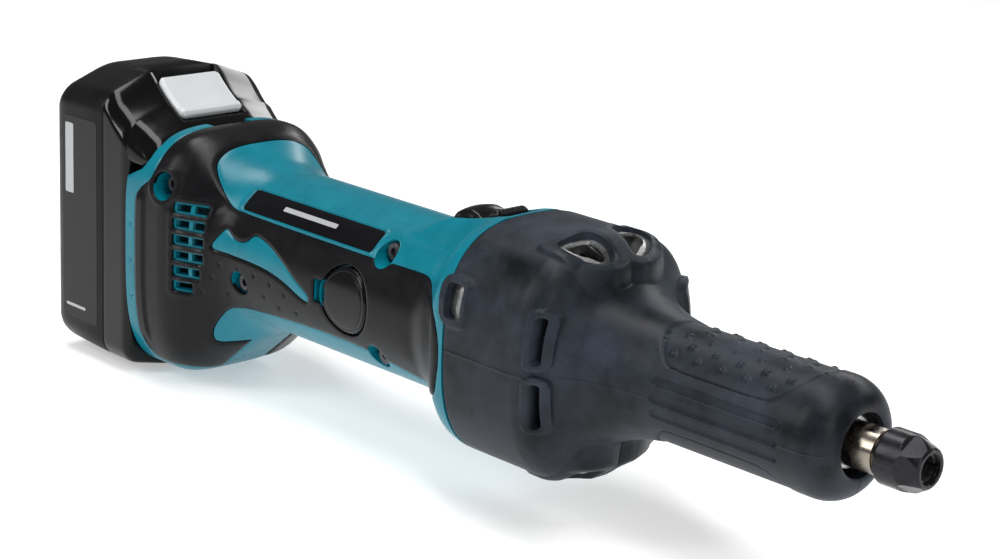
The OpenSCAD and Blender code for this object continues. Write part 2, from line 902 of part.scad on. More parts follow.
module collet() {
    color([0.55, 0.55, 0.57]) difference() {
        turned([[374, 0], [374, 4.76], [386.2, 4.76], [396.6, 5.95], [397.2, 5.95], [400, 5.15], [400, 0]]);
        rod(373, 401, collet_bore_r);
        block([381, -0.4, -9], [401, 0.4, 9]);
        block([381, -9, -0.4], [401, 9, 0.4]);
    }
}

module collet_nut() {
    color([0.06, 0.06, 0.065]) difference() {
        turned([[386.8, 0], [386.8, nut_r - 0.4], [387.2, nut_r], [396.4, nut_r], [402, 6.5], [402, 0]]);
        turned([[386, 0], [386, thread_r + thread_gap], [397.7, thread_r + thread_gap], [397.7, 6.25],
            [400.3, 5.35], [400.3, 4.65], [403, 4.65], [403, 0]]);
        for (a = [0:60:300]) rotate([a, 0, 0]) translate([396.2, 7.3, 0]) rotate([0, 0, -8])
            translate([0, 0, -8]) cube([10, 5, 16]);
    }
}

placed() battery_rear_case();
placed() battery_front_case();
placed() battery_cells();
placed() cell_holders();
placed() cell_straps();
placed() battery_board();
placed() battery_contacts();
placed() battery_screws();
placed() battery_labels();
placed() latch_button();
placed() latch_springs();
placed() housing_left();
placed() housing_right();
placed() grip_left();
placed() grip_right();
placed() name_plate();
placed() housing_screws();
placed() terminal_block();
placed() terminal_blades();
placed() controller_board();
placed() heat_sink();
placed() lead_wires();
placed() switch_body();
placed() switch_bar();
placed() switch_knob();
placed() brush_holders();
placed() carbon_brushes();
placed() brush_springs();
placed() brush_caps();
placed() brush_cover_left();
placed() brush_cover_right();
placed() bearing_sleeve();
placed() yoke();
placed() magnets();
placed() air_baffle();
placed() armature_shaft();
placed() armature_core();
placed() armature_windings();
placed() commutator();
placed() fan();
placed() coupling();
placed() bearing_outer_races();
placed() bearing_inner_races();
placed() bearing_balls();
placed() bearing_cages();
placed() neck_housing();
placed() neck_screws();
placed() outer_spacer();
placed() inner_spacer();
placed() bearing_retainer();
placed() dust_ring();
placed() spindle();
placed() rubber_boot();
placed() collet();
placed() collet_nut();
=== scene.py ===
"""The battery die grinder's visual model: boot, housing, battery and collet around the CAD frame.

Lengths below are in millimetres, with stations counted along X from the battery's rear face.
to_frame() moves them to the frame, whose origin is the collet's mouth.
"""
import json
import math

import bmesh
import bpy
import numpy as np
from mathutils import Matrix, Vector


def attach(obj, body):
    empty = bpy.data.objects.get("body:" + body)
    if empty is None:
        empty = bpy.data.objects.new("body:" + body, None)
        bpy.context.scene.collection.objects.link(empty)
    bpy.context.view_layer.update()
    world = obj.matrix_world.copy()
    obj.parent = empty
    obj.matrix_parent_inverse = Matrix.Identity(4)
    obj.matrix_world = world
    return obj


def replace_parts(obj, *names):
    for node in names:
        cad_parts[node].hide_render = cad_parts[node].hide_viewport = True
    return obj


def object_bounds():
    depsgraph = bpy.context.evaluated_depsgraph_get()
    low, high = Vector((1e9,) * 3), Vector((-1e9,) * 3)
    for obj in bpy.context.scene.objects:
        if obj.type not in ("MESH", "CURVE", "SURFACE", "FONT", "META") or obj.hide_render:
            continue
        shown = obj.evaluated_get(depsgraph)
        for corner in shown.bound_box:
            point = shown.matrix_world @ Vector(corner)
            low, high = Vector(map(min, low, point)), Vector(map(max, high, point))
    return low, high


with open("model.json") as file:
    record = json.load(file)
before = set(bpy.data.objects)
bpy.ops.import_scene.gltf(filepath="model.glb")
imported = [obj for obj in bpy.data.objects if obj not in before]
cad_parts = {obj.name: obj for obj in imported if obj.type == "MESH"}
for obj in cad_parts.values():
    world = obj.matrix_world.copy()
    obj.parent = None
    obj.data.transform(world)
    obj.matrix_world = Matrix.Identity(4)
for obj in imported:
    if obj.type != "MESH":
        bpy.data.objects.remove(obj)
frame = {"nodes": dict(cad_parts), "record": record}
CAD_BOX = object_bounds()

MOUTH_X = 400.0
HANDLE_Z = -1.5
HANDLE_R = 30.0
BOOT_START = 231.0
NECK_R = 20.0
NOSE_X = 377.0


def to_frame(points):
    """Station points in mm to frame points in metres."""
    return (np.asarray(points, float) - [MOUTH_X, 0, 0]) / 1000


# ---------------------------------------------------------------- camera, light and floor

LENS_MM = 85.36
CAMERA_PLACE = (0.3785, -0.5465, 0.2411)
VIEW_DIRECTION = (-0.68759, 0.67033, -0.27908)
CAMERA_ROLL = math.radians(2.62)


def add_camera():
    """Long lens from the front left and above, rolled a little."""
    data = bpy.data.cameras.new("camera")
    data.lens = LENS_MM
    data.sensor_width = 36
    data.clip_end = 20
    camera = bpy.data.objects.new("camera", data)
    bpy.context.scene.collection.objects.link(camera)
    forward = Vector(VIEW_DIRECTION).normalized()
    side = forward.cross(Vector((0, 0, 1))).normalized()
    up = side.cross(forward)
    right = side * math.cos(CAMERA_ROLL) + up * math.sin(CAMERA_ROLL)
    top = up * math.cos(CAMERA_ROLL) - side * math.sin(CAMERA_ROLL)
    turn = Matrix((right, top, -forward)).transposed()
    camera.matrix_world = Matrix.Translation(CAMERA_PLACE) @ turn.to_4x4()
    bpy.context.scene.camera = camera


def add_light(name, place, target, size, power, tint=(1, 1, 1)):
    data = bpy.data.lights.new(name, "AREA")
    data.shape = "RECTANGLE"
    data.size = size[0]
    data.size_y = size[1]
    data.energy = power
    data.color = tint
    lamp = bpy.data.objects.new(name, data)
    lamp.location = place
    lamp.rotation_euler = (Vector(target) - Vector(place)).to_track_quat("-Z", "Y").to_euler()
    bpy.context.scene.collection.objects.link(lamp)


def add_studio():
    """Soft boxes above and to each side, and an even pale surround."""
    middle = (-0.2, 0, 0)
    add_light("top_box", (-0.25, -0.1, 1.1), middle, (1.6, 0.3), 12)
    add_light("key_box", (-0.75, -1.0, 0.75), middle, (0.22, 0.8), 6)
    add_light("front_box", (0.75, -0.35, 0.45), (-0.1, 0, 0), (0.14, 0.8), 2.6)
    add_light("rim_box", (-0.2, 1.0, 0.6), middle, (1.4, 0.16), 5)
    world = bpy.data.worlds.new("surround")
    bpy.context.scene.world = world
    world.use_nodes = True
    background = world.node_tree.nodes["Background"]
    background.inputs["Color"].default_value = (1, 1, 1, 1)
    background.inputs["Strength"].default_value = 0.16
    bpy.context.scene.view_settings.view_transform = "Standard"


def add_floor():
    mesh = bpy.data.meshes.new("floor")
    low = CAD_BOX[0][2]
    corners = [(-6, -6, low), (6, -6, low), (6, 6, low), (-6, 6, low)]
    mesh.from_pydata(corners, [], [(0, 1, 2, 3)])
    floor = bpy.data.objects.new("floor", mesh)
    bpy.context.scene.collection.objects.link(floor)
    pale = surface("floor_pale", (0.9, 0.9, 0.9), 0.8, grain=1.5, bump=0.02, mottle=0.01, specular=0.1)
    glow = pale.node_tree.nodes["Principled BSDF"]
    glow.inputs["Emission Color"].default_value = (1, 1, 1, 1)
    glow.inputs["Emission Strength"].default_value = 0.4
    floor.data.materials.append(pale)


# ---------------------------------------------------------------- materials

def node_of(tree, kind, **settings):
    node = tree.nodes.new(kind)
    for key, value in settings.items():
        if key in node.inputs:
            node.inputs[key].default_value = value
        else:
            setattr(node, key, value)
    return node


def surface(name, colour, rough, metal=0.0, grain=0.35, bump=0.15, mottle=0.1, mottle_size=14.0, wear=0.0,
            coat=0.0, stretch=(1, 1, 1), spread=0.08, specular=0.5, second=None):
    """A material of its own: cloudy colour, grain, uneven gloss and paler worn edges.

    grain and mottle_size are in mm. stretch draws the grain out, as turning or brushing does.
    """
    material = bpy.data.materials.new(name)
    material.use_nodes = True
    tree = material.node_tree
    link = tree.links.new
    shader = tree.nodes["Principled BSDF"]
    shader.inputs["Metallic"].default_value = metal
    shader.inputs["Coat Weight"].default_value = coat
    shader.inputs["Coat Roughness"].default_value = 0.12
    shader.inputs["Specular IOR Level"].default_value = specular
    place = node_of(tree, "ShaderNodeTexCoord")
    drawn = node_of(tree, "ShaderNodeMapping")
    drawn.inputs["Scale"].default_value = [1000 / grain * s for s in stretch]
    link(place.outputs["Object"], drawn.inputs["Vector"])
    fine = node_of(tree, "ShaderNodeTexNoise", Scale=1.0, Detail=3.0, Roughness=0.6)
    link(drawn.outputs["Vector"], fine.inputs["Vector"])
    cloud = node_of(tree, "ShaderNodeTexNoise", Scale=1000 / mottle_size, Detail=5.0, Roughness=0.62)
    link(place.outputs["Object"], cloud.inputs["Vector"])
    ramp = node_of(tree, "ShaderNodeValToRGB")
    dark = [c * (1 - mottle) for c in colour]
    pale = [min(1, c * (1 + mottle)) for c in (second or colour)]
    ramp.color_ramp.elements[0].position = 0.34
    ramp.color_ramp.elements[1].position = 0.68
    ramp.color_ramp.elements[0].color = (*dark, 1)
    ramp.color_ramp.elements[1].color = (*pale, 1)
    link(cloud.outputs["Fac"], ramp.inputs["Fac"])
    colour_out = ramp.outputs["Color"]
    if wear:
        edge = node_of(tree, "ShaderNodeNewGeometry")
        sharp = node_of(tree, "ShaderNodeMapRange")
        sharp.inputs["From Min"].default_value = 0.52
        sharp.inputs["From Max"].default_value = 0.62
        sharp.inputs["To Max"].default_value = wear
        link(edge.outputs["Pointiness"], sharp.inputs["Value"])
        worn = node_of(tree, "ShaderNodeMix", data_type="RGBA")
        worn.inputs["B"].default_value = (*[min(1, 0.12 + c * 1.6) for c in colour], 1)
        link(sharp.outputs["Result"], worn.inputs["Factor"])
        link(colour_out, worn.inputs["A"])
        colour_out = worn.outputs["Result"]
    link(colour_out, shader.inputs["Base Color"])
    gloss = node_of(tree, "ShaderNodeMapRange")
    gloss.inputs["From Min"].default_value = 0.3
    gloss.inputs["From Max"].default_value = 0.7
    gloss.inputs["To Min"].default_value = max(0.03, rough - spread)
    gloss.inputs["To Max"].default_value = min(1, rough + spread)
    link(cloud.outputs["Fac"], gloss.inputs["Value"])
    link(gloss.outputs["Result"], shader.inputs["Roughness"])
    raised = node_of(tree, "ShaderNodeBump", Strength=bump, Distance=grain / 4000)
    link(fine.outputs["Fac"], raised.inputs["Height"])
    link(raised.outputs["Normal"], shader.inputs["Normal"])
    return material


TEAL = (0.0, 0.165, 0.225)
FINISHES = {
    "battery_shell_matte": dict(colour=(0.006, 0.006, 0.007), rough=0.36, specular=0.14, grain=0.5,
                                bump=0.35, mottle=0.12),
    "battery_shell_gloss": dict(colour=(0.003, 0.003, 0.003), rough=0.12, bump=0.02, mottle=0.05,
                                specular=0.24, spread=0.03),
    "cell_wrap": dict(colour=(0.02, 0.16, 0.11), rough=0.3, bump=0.05),
    "black_plastic": dict(colour=(0.018, 0.018, 0.02), rough=0.5, bump=0.3),
    "nickel": dict(colour=(0.62, 0.6, 0.56), rough=0.28, metal=1.0, stretch=(0.05, 1, 1)),
    "board_green": dict(colour=(0.01, 0.09, 0.035), rough=0.25, mottle=0.3, mottle_size=3, coat=0.6),
    "copper": dict(colour=(0.72, 0.36, 0.18), rough=0.25, metal=1.0, mottle=0.2),
    "label_print": dict(colour=(0.42, 0.43, 0.44), rough=0.4, grain=0.15, bump=0.05, mottle=0.04),
    "latch_white": dict(colour=(0.6, 0.62, 0.63), rough=0.22, bump=0.05, mottle=0.03, coat=0.3),
    "steel": dict(colour=(0.5, 0.5, 0.5), rough=0.3, metal=1.0, stretch=(1, 0.08, 0.08), mottle=0.15),
    "dark_steel": dict(colour=(0.1, 0.1, 0.105), rough=0.4, metal=1.0, mottle=0.25, mottle_size=3),
    "housing_teal": dict(colour=TEAL, second=(0.0, 0.18, 0.245), rough=0.3, grain=0.6, bump=0.07, mottle=0.05,
                         specular=0.3, spread=0.05),
    "grip_black": dict(colour=(0.006, 0.006, 0.007), rough=0.3, specular=0.15, grain=0.4, bump=0.22,
                       mottle=0.15, spread=0.06),
    "plate_black": dict(colour=(0.004, 0.004, 0.005), rough=0.2, grain=0.15, bump=0.04, mottle=0.05,
                        specular=0.2),
    "wire_red": dict(colour=(0.3, 0.01, 0.01), rough=0.4),
    "aluminium": dict(colour=(0.5, 0.5, 0.5), rough=0.42, metal=1.0, grain=0.7, bump=0.75, mottle=0.2,
                      mottle_size=4),
    "knob_black": dict(colour=(0.004, 0.004, 0.005), rough=0.25, grain=0.3, bump=0.08, mottle=0.1,
                       specular=0.22),
    "brass": dict(colour=(0.6, 0.42, 0.16), rough=0.25, metal=1.0, mottle=0.2),
    "carbon": dict(colour=(0.03, 0.03, 0.032), rough=0.6, bump=0.4),
    "ferrite": dict(colour=(0.05, 0.05, 0.055), rough=0.65, bump=0.5, grain=0.8),
    "lamination": dict(colour=(0.25, 0.25, 0.27), rough=0.45, metal=1.0, stretch=(2, 0.02, 0.02), bump=0.6),
    "enamel_copper": dict(colour=(0.5, 0.16, 0.05), rough=0.22, metal=0.6, grain=0.8, stretch=(0.1, 1, 1),
                          bump=0.8),
    "bearing_steel": dict(colour=(0.62, 0.63, 0.65), rough=0.12, metal=1.0, stretch=(1, 0.05, 0.05)),
    "cage_resin": dict(colour=(0.25, 0.14, 0.05), rough=0.45),
    "boot_rubber": dict(colour=(0.005, 0.0058, 0.0075), second=(0.024, 0.031, 0.043), rough=0.42, grain=0.45,
                        bump=0.4, mottle=0.25, mottle_size=26, spread=0.1, specular=0.16),
    "spindle_steel": dict(colour=(0.3, 0.265, 0.22), rough=0.26, metal=1.0, grain=0.25,
                          stretch=(1, 0.04, 0.04), bump=0.25, mottle=0.12, mottle_size=6),
    "nut_black": dict(colour=(0.018, 0.018, 0.021), rough=0.3, metal=0.75, grain=0.25, stretch=(1, 0.1, 0.1),
                      bump=0.15, mottle=0.2, mottle_size=5, wear=0.3),
}
MATERIALS = {name: surface(name, **finish) for name, finish in FINISHES.items()}


def paint_nodes():
    """Gives every CAD node the finish of its record slot."""
    for part in frame["record"]["subparts"]:
        node = frame["nodes"][part["node"]]
        for place in node.material_slots:
            place.material = MATERIALS[part["material_slot"]]


# ---------------------------------------------------------------- shape helpers

def smooth_keys(x, keys):
    """A smooth curve through [x, value] keys that never overshoots them."""
    at, value = np.array(keys, float).T
    rise = np.diff(value) / np.diff(at)
    slope = np.zeros(len(at))
    same = rise[1:] * rise[:-1] > 0
    slope[1:-1][same] = 2 * rise[1:][same] * rise[:-1][same] / (rise[1:] + rise[:-1])[same]
    x = np.clip(x, at[0], at[-1])
    i = np.clip(np.searchsorted(at, x) - 1, 0, len(rise) - 1)
    step = at[i + 1] - at[i]
    t = (x - at[i]) / step
    return (value[i] * (1 + 2 * t) * (1 - t) ** 2 + value[i + 1] * t * t * (3 - 2 * t)
            + step * (slope[i] * t * (1 - t) ** 2 - slope[i + 1] * t * t * (1 - t)))


def ease(x, low, high):
    """0 below low, 1 above high and a smooth step between."""
    t = np.clip((x - low) / (high - low), 0, 1)
    return t * t * (3 - 2 * t)


def cut_corners(points, times=2):
    """Rounds a closed outline by cutting its corners."""
    points = np.array(points, float)
    for _ in range(times):
        after = np.roll(points, -1, axis=0)
        points = np.stack([points * 0.8 + after * 0.2, points * 0.2 + after * 0.8], 1).reshape(-1, 2)
    return points


def inside(u, v, outline):
    """Distance inside a closed outline, negative outside it."""
    point = np.stack([u, v], -1)
    nearest = np.full(u.shape, 1e9)
    crossings = np.zeros(u.shape, int)
    for a, b in zip(outline, np.roll(outline, -1, axis=0)):
        edge = b - a
        share = np.clip(((point - a) @ edge) / max(edge @ edge, 1e-12), 0, 1)
        gap = point - a - share[..., None] * edge
        nearest = np.minimum(nearest, np.hypot(gap[..., 0], gap[..., 1]))
        if a[1] != b[1]:
            spans = (a[1] > v) != (b[1] > v)
            crossings += spans & (u < a[0] + (v - a[1]) * edge[0] / edge[1])
    return np.where(crossings % 2, nearest, -nearest)


def in_box(u, v, middle, half, corner=1.0):
    """Distance inside a round-cornered rectangle."""
    du = abs(u - middle[0]) - half[0] + corner
    dv = abs(v - middle[1]) - half[1] + corner
    return corner - np.hypot(np.maximum(du, 0), np.maximum(dv, 0)) - np.minimum(np.maximum(du, dv), 0)


def spread_steps(*stretches):
    """Samples from (start, end, spacing) stretches that follow each other."""
    parts = [np.linspace(a, b, max(2, int(round((b - a) / step)) + 1))[:-1] for a, b, step in stretches]
    return np.append(np.concatenate(parts), stretches[-1][1])


def grid_of(rows, columns):
    """Every pairing of two lists of samples, as two grids."""
    return np.meshgrid(rows, columns, indexing="ij")


def clipped_faces(field):
    """Faces of a grid where field is positive, cut along its zero line.

    Returns the faces and, for each cut point, the two grid points that it lies between and its share.
    """
    rows, columns = field.shape
    index = np.arange(rows * columns).reshape(rows, columns)
    flat = field.ravel()
    corners = np.stack([index[:-1, :-1], index[1:, :-1], index[1:, 1:], index[:-1, 1:]], -1).reshape(-1, 4)
    count = (flat[corners] > 0).sum(1)
    faces = [tuple(c) for c in corners[count == 4].tolist()]
    cuts = {}
    for cell in corners[(count > 0) & (count < 4)].tolist():
        face = []
        for a, b in zip(cell, cell[1:] + cell[:1]):
            if flat[a] > 0:
                face.append(a)
            if (flat[a] > 0) != (flat[b] > 0):
                key = (min(a, b), max(a, b))
                face.append(cuts.setdefault(key, rows * columns + len(cuts)))
        if len(set(face)) > 2:
            faces.append(tuple(face))
    ends = np.array(list(cuts), int).reshape(-1, 2)
    share = flat[ends[:, 0]] / (flat[ends[:, 0]] - flat[ends[:, 1]]) if len(ends) else np.zeros(0)
    return faces, ends, share


def sided(mirror, *grids):
    """Grids as they are, or mirrored to the far side."""
    return [grid * [1, -1 if mirror else 1, 1] for grid in grids]


def grid_normals(points):
    """Unit normals of a grid of points."""
    along = np.gradient(points, axis=0)
    across = np.gradient(points, axis=1)
    normal = np.cross(along, across)
    return normal / np.maximum(np.linalg.norm(normal, axis=-1, keepdims=True), 1e-9)


def make_object(name, points, faces, slot, body, sharp=35):
    """A piece from station points and faces, with its finish, riding on its body."""
    mesh = bpy.data.meshes.new(name)
    mesh.from_pydata(to_frame(points).tolist(), [], faces)
    mesh.update()
    work = bmesh.new()
    work.from_mesh(mesh)
    bmesh.ops.remove_doubles(work, verts=work.verts, dist=1e-6)
    loose = [v for v in work.verts if not v.link_faces]
    bmesh.ops.delete(work, geom=loose, context="VERTS")
    bmesh.ops.recalc_face_normals(work, faces=work.faces)
    work.to_mesh(mesh)
    work.free()
    mesh.shade_smooth()
    mesh.set_sharp_from_angle(angle=math.radians(sharp))
    mesh.materials.append(MATERIALS[slot])
    piece = bpy.data.objects.new(name, mesh)
    bpy.context.scene.collection.objects.link(piece)
    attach(piece, body)
    return piece


def shell(name, outer, inner, field, slot, body, sharp=35):
    """A closed shell between two grids of points, kept where field is positive."""
    faces, ends, share = clipped_faces(field)

    def all_points(grid):
        flat = grid.reshape(-1, 3)
        cut = flat[ends[:, 0]] * (1 - share[:, None]) + flat[ends[:, 1]] * share[:, None]
        return np.concatenate([flat, cut])

    top = all_points(outer)
    points = np.concatenate([top, all_points(inner)])
    once = {}
    for face in faces:
        for a, b in zip(face, face[1:] + face[:1]):
            if once.pop((b, a), None) is None:
                once[(a, b)] = True
    shift = len(top)
    under = [tuple(i + shift for i in reversed(face)) for face in faces]
    sides = [(a, a + shift, b + shift, b) for a, b in once]
    return make_object(name, points, faces + under + sides, slot, body, sharp)


def lathe(name, profile, slot, body, segments=96, z=0.0, sharp=30):
    """A solid turned about the X axis from a closed [station, radius] profile."""
    turn = np.linspace(0, 2 * np.pi, segments, endpoint=False)
    rings = [[(x, r * math.cos(a), z + r * math.sin(a)) for a in turn] for x, r in profile]
    points = [p for ring in rings for p in ring]
    count = len(profile)
    faces = [(k * segments + i, k * segments + (i + 1) % segments,
              (k + 1) % count * segments + (i + 1) % segments, (k + 1) % count * segments + i)
             for k in range(count) for i in range(segments)]
    return make_object(name, points, faces, slot, body, sharp)


def bevelled(piece, width, segments=3):
    """Rounds a piece's sharp edges; width in mm."""
    soft = piece.modifiers.new("soft_edges", "BEVEL")
    soft.width = width / 1000
    soft.segments = segments
    soft.limit_method = "ANGLE"
    soft.angle_limit = math.radians(30)
    return piece


def slab(name, low, high, slot, body, soft=0.4):
    """A block with softened edges."""
    corners = [(x, y, z) for x in (low[0], high[0]) for y in (low[1], high[1]) for z in (low[2], high[2])]
    faces = [(0, 1, 3, 2), (4, 6, 7, 5), (0, 4, 5, 1), (2, 3, 7, 6), (0, 2, 6, 4), (1, 5, 7, 3)]
    return bevelled(make_object(name, corners, faces, slot, body), soft)


def teal_block(name, low, high):
    """A softened block of the housing."""
    return slab(name, low, high, "housing_teal", "housing", 0.3)


def gloss_block(name, low, high):
    """A softened block of the battery's front case."""
    return slab(name, low, high, "battery_shell_gloss", "battery")


def loft(name, rings, slot, body, sharp=35):
    """A closed skin over rings of equally many points, capped at both ends."""
    count = len(rings[0])
    points = np.concatenate(rings)
    faces = [(k * count + i, k * count + (i + 1) % count,
              (k + 1) * count + (i + 1) % count, (k + 1) * count + i)
             for k in range(len(rings) - 1) for i in range(count)]
    faces.append(tuple(range(count)))
    faces.append(tuple((len(rings) - 1) * count + i for i in reversed(range(count))))
    return make_object(name, points, faces, slot, body, sharp)


def joined(name, pieces):
    """Joins pieces of one finish and body into the first, with their modifiers applied."""
    for piece in pieces:
        with bpy.context.temp_override(object=piece, active_object=piece, selected_objects=[piece]):
            for modifier in list(piece.modifiers):
                bpy.ops.object.modifier_apply(modifier=modifier.name)
    work = bmesh.new()
    for piece in pieces:
        work.from_mesh(piece.data)
    work.to_mesh(pieces[0].data)
    work.free()
    for piece in pieces[1:]:
        bpy.data.objects.remove(piece)
    pieces[0].name = name
    return pieces[0]


# ---------------------------------------------------------------- rubber boot

BULB_HALF_WIDTH = 38.3
BULB_TOP = 40.2
BULB_BOTTOM = 42.8
RIM_LIMIT = 39.2


def square_radius(turn, width, top, bottom, power):
    """Radius of a rounded square at an angle; turn 0 is at -Y and 90 degrees at the top."""
    high = np.where(np.sin(turn) > 0, top, bottom)
    return ((abs(np.cos(turn)) / width) ** power + (abs(np.sin(turn)) / high) ** power) ** (-1 / power)


def raised_ring(gap, width, height):
    """A flat-topped rim of one width round an opening; gap is the distance inside the opening."""
    return height * ease(gap, -width - 0.35, -width + 0.35) * (1 - 0.25 * ease(gap, -0.6, 0))


def boot_profile():
    """Samples along the boot: station, share of the bulb, and neck radius, ending inside the nose hole."""
    x = spread_steps((BOOT_START - 2.6, 256, 0.7), (256, 284, 0.4), (284, 306, 0.8), (306, 362, 0.55),
                     (362, 366, 0.8))
    share = smooth_keys(x, [[264, 1], [268.5, 0.965], [272, 0.87], [275, 0.66], [277.5, 0.45], [281, 0.3],
                            [287, 0.18], [296, 0.06], [306, 0]])
    nose = np.linspace(0, np.pi / 2, 16)[1:]
    x = np.concatenate([x, 366 + 11 * np.sin(nose), [NOSE_X - 0.3, NOSE_X - 2.5]])
    neck = np.concatenate([np.full(len(share), NECK_R), 11.2 + (NECK_R - 11.2) * np.cos(nose), [10.5, 10.4]])
    share = np.concatenate([share, np.zeros(len(nose) + 2)])
    return x, share, neck


WINDOW = [[260.4, 16.8], [263.2, 4.6], [269, 3.8], [276, 4.1], [276.6, 8.8], [273.4, 15.8], [269.3, 18.8],
          [263.8, 19]]
WINDOW_FRAME = [[255.4, 21.8], [259.6, 13], [261, 1.4], [264, -4], [277.4, -4], [280.2, 3], [280, 10.4],
                [276.2, 18.6], [271.2, 22.8], [262.8, 23.2]]


def window_rise(x, y, z):
    """Height to raise the boot at its upper and lower air windows, and the distance inside their openings."""
    above = z > 0
    opening = inside(x, abs(y), cut_corners(WINDOW))
    frame_gap = inside(x, abs(y), cut_corners(WINDOW_FRAME))
    crest = np.where(above, smooth_keys(x, [[256, 40.8], [262, 42.4], [268, 41.6], [277, 35.4], [280, 33]]),
                     smooth_keys(x, [[256, 43.2], [262, 44.6], [268, 43.6], [277, 37.4], [280, 35]]))
    crest = crest * (1 - (np.minimum(abs(y), 37) / 38.3) ** 2.8) ** 0.357 - 0.22 * np.maximum(abs(y) - 8, 0)
    rise = np.maximum(crest - abs(z), 0.8) * ease(frame_gap, -0.3, 0.9) * (1 - 0.25 * ease(opening, -1.2, 0))
    near = abs(z) > 18
    return np.where(near, rise, 0), np.where(near, opening, -50)


def boot_details(x, z):
    """Raised rims on the boot's sides and where it is open there."""
    window = in_box(x, z, (236.0, 16.4), (3.9, 5.8), 1.6)
    rise = raised_ring(window, 2.6, 2.2)
    hole = window
    for low, high in ((3.4, 20.2), (-17.8, -1.4)):
        gap = in_box(x, z, (272.0, (low + high) / 2), (1.3, (high - low) / 2 - 0.6), 1.2)
        rise = np.maximum(rise, raised_ring(gap, 2.2, 2.1))
        hole = np.maximum(hole, gap)
    return rise, hole


def neck_details(x, turn):
    """Pads with small oval bumps and long grooves along the neck."""
    degrees = np.degrees(turn)
    from_top = NECK_R * abs(np.radians(abs(degrees) - 90))
    ends = [[302.5, 0], [303.5, 9], [306, 14.5], [309.5, 19], [313, 20.6], [350, 20.6], [355, 18.5],
            [359, 13], [362, 6], [363.5, 0], [362, -6], [303.5, -6]]
    pad = inside(x, from_top, cut_corners(ends, 2))
    rise = -0.4 * ease(pad, -0.25, 0.25) - 0.6 * np.exp(-(pad / 0.45) ** 2)
    for row, angle in enumerate((45, 58, 71, 84)):
        for k in range(5):
            at = 311 + 10 * k + 5 * (row % 2)
            for side in (angle, 180 - angle):
                distance = np.hypot((x - at) / 1.15, NECK_R * np.radians(degrees - side) / 1.45)
                rise += (0.9 if row < 2 else 0.5) * np.exp(-distance ** 4 / 0.6)
    for side in (0, 180):
        for angle in (16, 0, -15):
            where = angle if side == 0 else 180 - angle
            off = NECK_R * np.radians((degrees - where + 180) % 360 - 180)
            band = in_box(x, off, (333.5, 0), (26, 1.5), 1.4)
            rise -= 0.8 * ease(band, -0.15, 0.35)
    return rise


def boot_grid():
    """Grids of the boot's outer and inner surface, with the field of what is kept."""
    x, share, neck = boot_profile()
    near = [-1.75, -1.4, -1.05]
    turn = np.unique(np.concatenate([np.linspace(-90, 270, 401), near, [180 - a for a in near]]))
    turn = np.radians(turn)
    station, angle = grid_of(x, turn)
    share = np.broadcast_to(share[:, None], station.shape)
    neck = np.broadcast_to(neck[:, None], station.shape)
    bulb = square_radius(angle, BULB_HALF_WIDTH, BULB_TOP, BULB_BOTTOM, 2.8)
    radius = neck + share * (bulb - NECK_R)
    base = np.stack([station, -radius * np.cos(angle), radius * np.sin(angle)], -1)
    rise, hole = boot_details(station, base[..., 2])
    lift, opening = window_rise(station, base[..., 1], base[..., 2])
    on_neck = ease(station, 300, 303) * (1 - ease(station, 366, 368))
    rise = rise * (1 - on_neck) + on_neck * neck_details(station, angle)
    seam = np.minimum(abs(angle - np.radians(-1.4)), abs(angle - np.radians(181.4))) * radius
    rise = rise + 0.22 * np.exp(-(seam / 0.25) ** 2) * (1 - ease(station, 374, 376))
    edge = ease(station, BOOT_START, BOOT_START + 1.2)
    rise = rise - 0.7 * (1 - edge) * (rise < 0.3)
    normal = grid_normals(base)
    if (normal[40, :, 2] * np.sin(turn)).sum() < 0:
        normal = -normal
    outer = base + normal * rise[..., None]
    outer = outer + lift[..., None] * np.sign(base[..., 2:3]) * [0, 0, 1]
    outer[..., 1] = np.clip(outer[..., 1], -RIM_LIMIT, RIM_LIMIT)
    # Behind the side slots the inner skin is drawn 6 mm inward: a dark rubber sheet that paints the slots'
    # shade and hides the lit casting behind them.
    slot_shade_sheet = (ease(hole, -0.5, -0.15) * (station > 260))[..., None]
    inner = base - normal * 2.0 * (1 - slot_shade_sheet) - np.sign(base[..., 1:2]) * [0, 6, 0] * slot_shade_sheet
    inner[-2:] = base[-2:] - normal[-2:] * 0.4
    tab = in_box(station, base[..., 2], (236.0, 16.4), (6.9, 8.8), 3.0)
    keep = np.minimum(np.maximum(station - BOOT_START, tab), -np.maximum(hole, opening))
    return outer, inner, keep, opening


def add_boot():
    outer, inner, keep, opening = boot_grid()
    piece = shell("boot_skin", outer, inner, keep, "boot_rubber", "housing", 50)
    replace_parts(piece, "rubber_boot")
    lip = np.minimum(opening + 2.2, 2.0 - opening)
    sink = np.sign(inner[..., 2:3]) * [0, 0, 1]
    shell("cast_window_lips", inner + 0.9 * sink, inner - 0.1 * sink, lip, "aluminium", "housing", 50)


# ---------------------------------------------------------------- handle housing

def housing_section(x):
    """Half width, height above and below the handle's axis, and squareness at a station."""
    width = smooth_keys(x, [[50, 38], [70, 38], [80, 36.6], [90, 33.2], [100, 30.6], [107, 30], [205, 30],
                            [212, 31.4], [219, 34.6], [226, 37.9], [232, 38.3]])
    top = smooth_keys(x, [[50, 41.5], [72, 41.4], [80, 39.6], [90, 34.8], [100, 31], [108, 30], [205, 30],
                          [212, 31.6], [219, 35.6], [226, 40.6], [232, 41.6]])
    bottom = smooth_keys(x, [[50, 56.4], [66, 56.2], [74, 53.4], [84, 46.2], [94, 38.8], [103, 32.8],
                             [112, 30.2], [120, 30], [205, 30], [212, 32], [219, 36.6],
                             [226, 40.4], [232, 41.3]])
    square = smooth_keys(x, [[50, 3.7], [72, 3.6], [84, 2.9], [96, 2.2], [106, 2], [208, 2], [219, 2.35],
                             [228, 2.75]])
    return width, top, bottom, square


SADDLE = [[186, 27.5], [192, 29.2], [202, 33.4], [212, 35.4], [222, 37.9], [227, 39.3], [232, 39.9]]


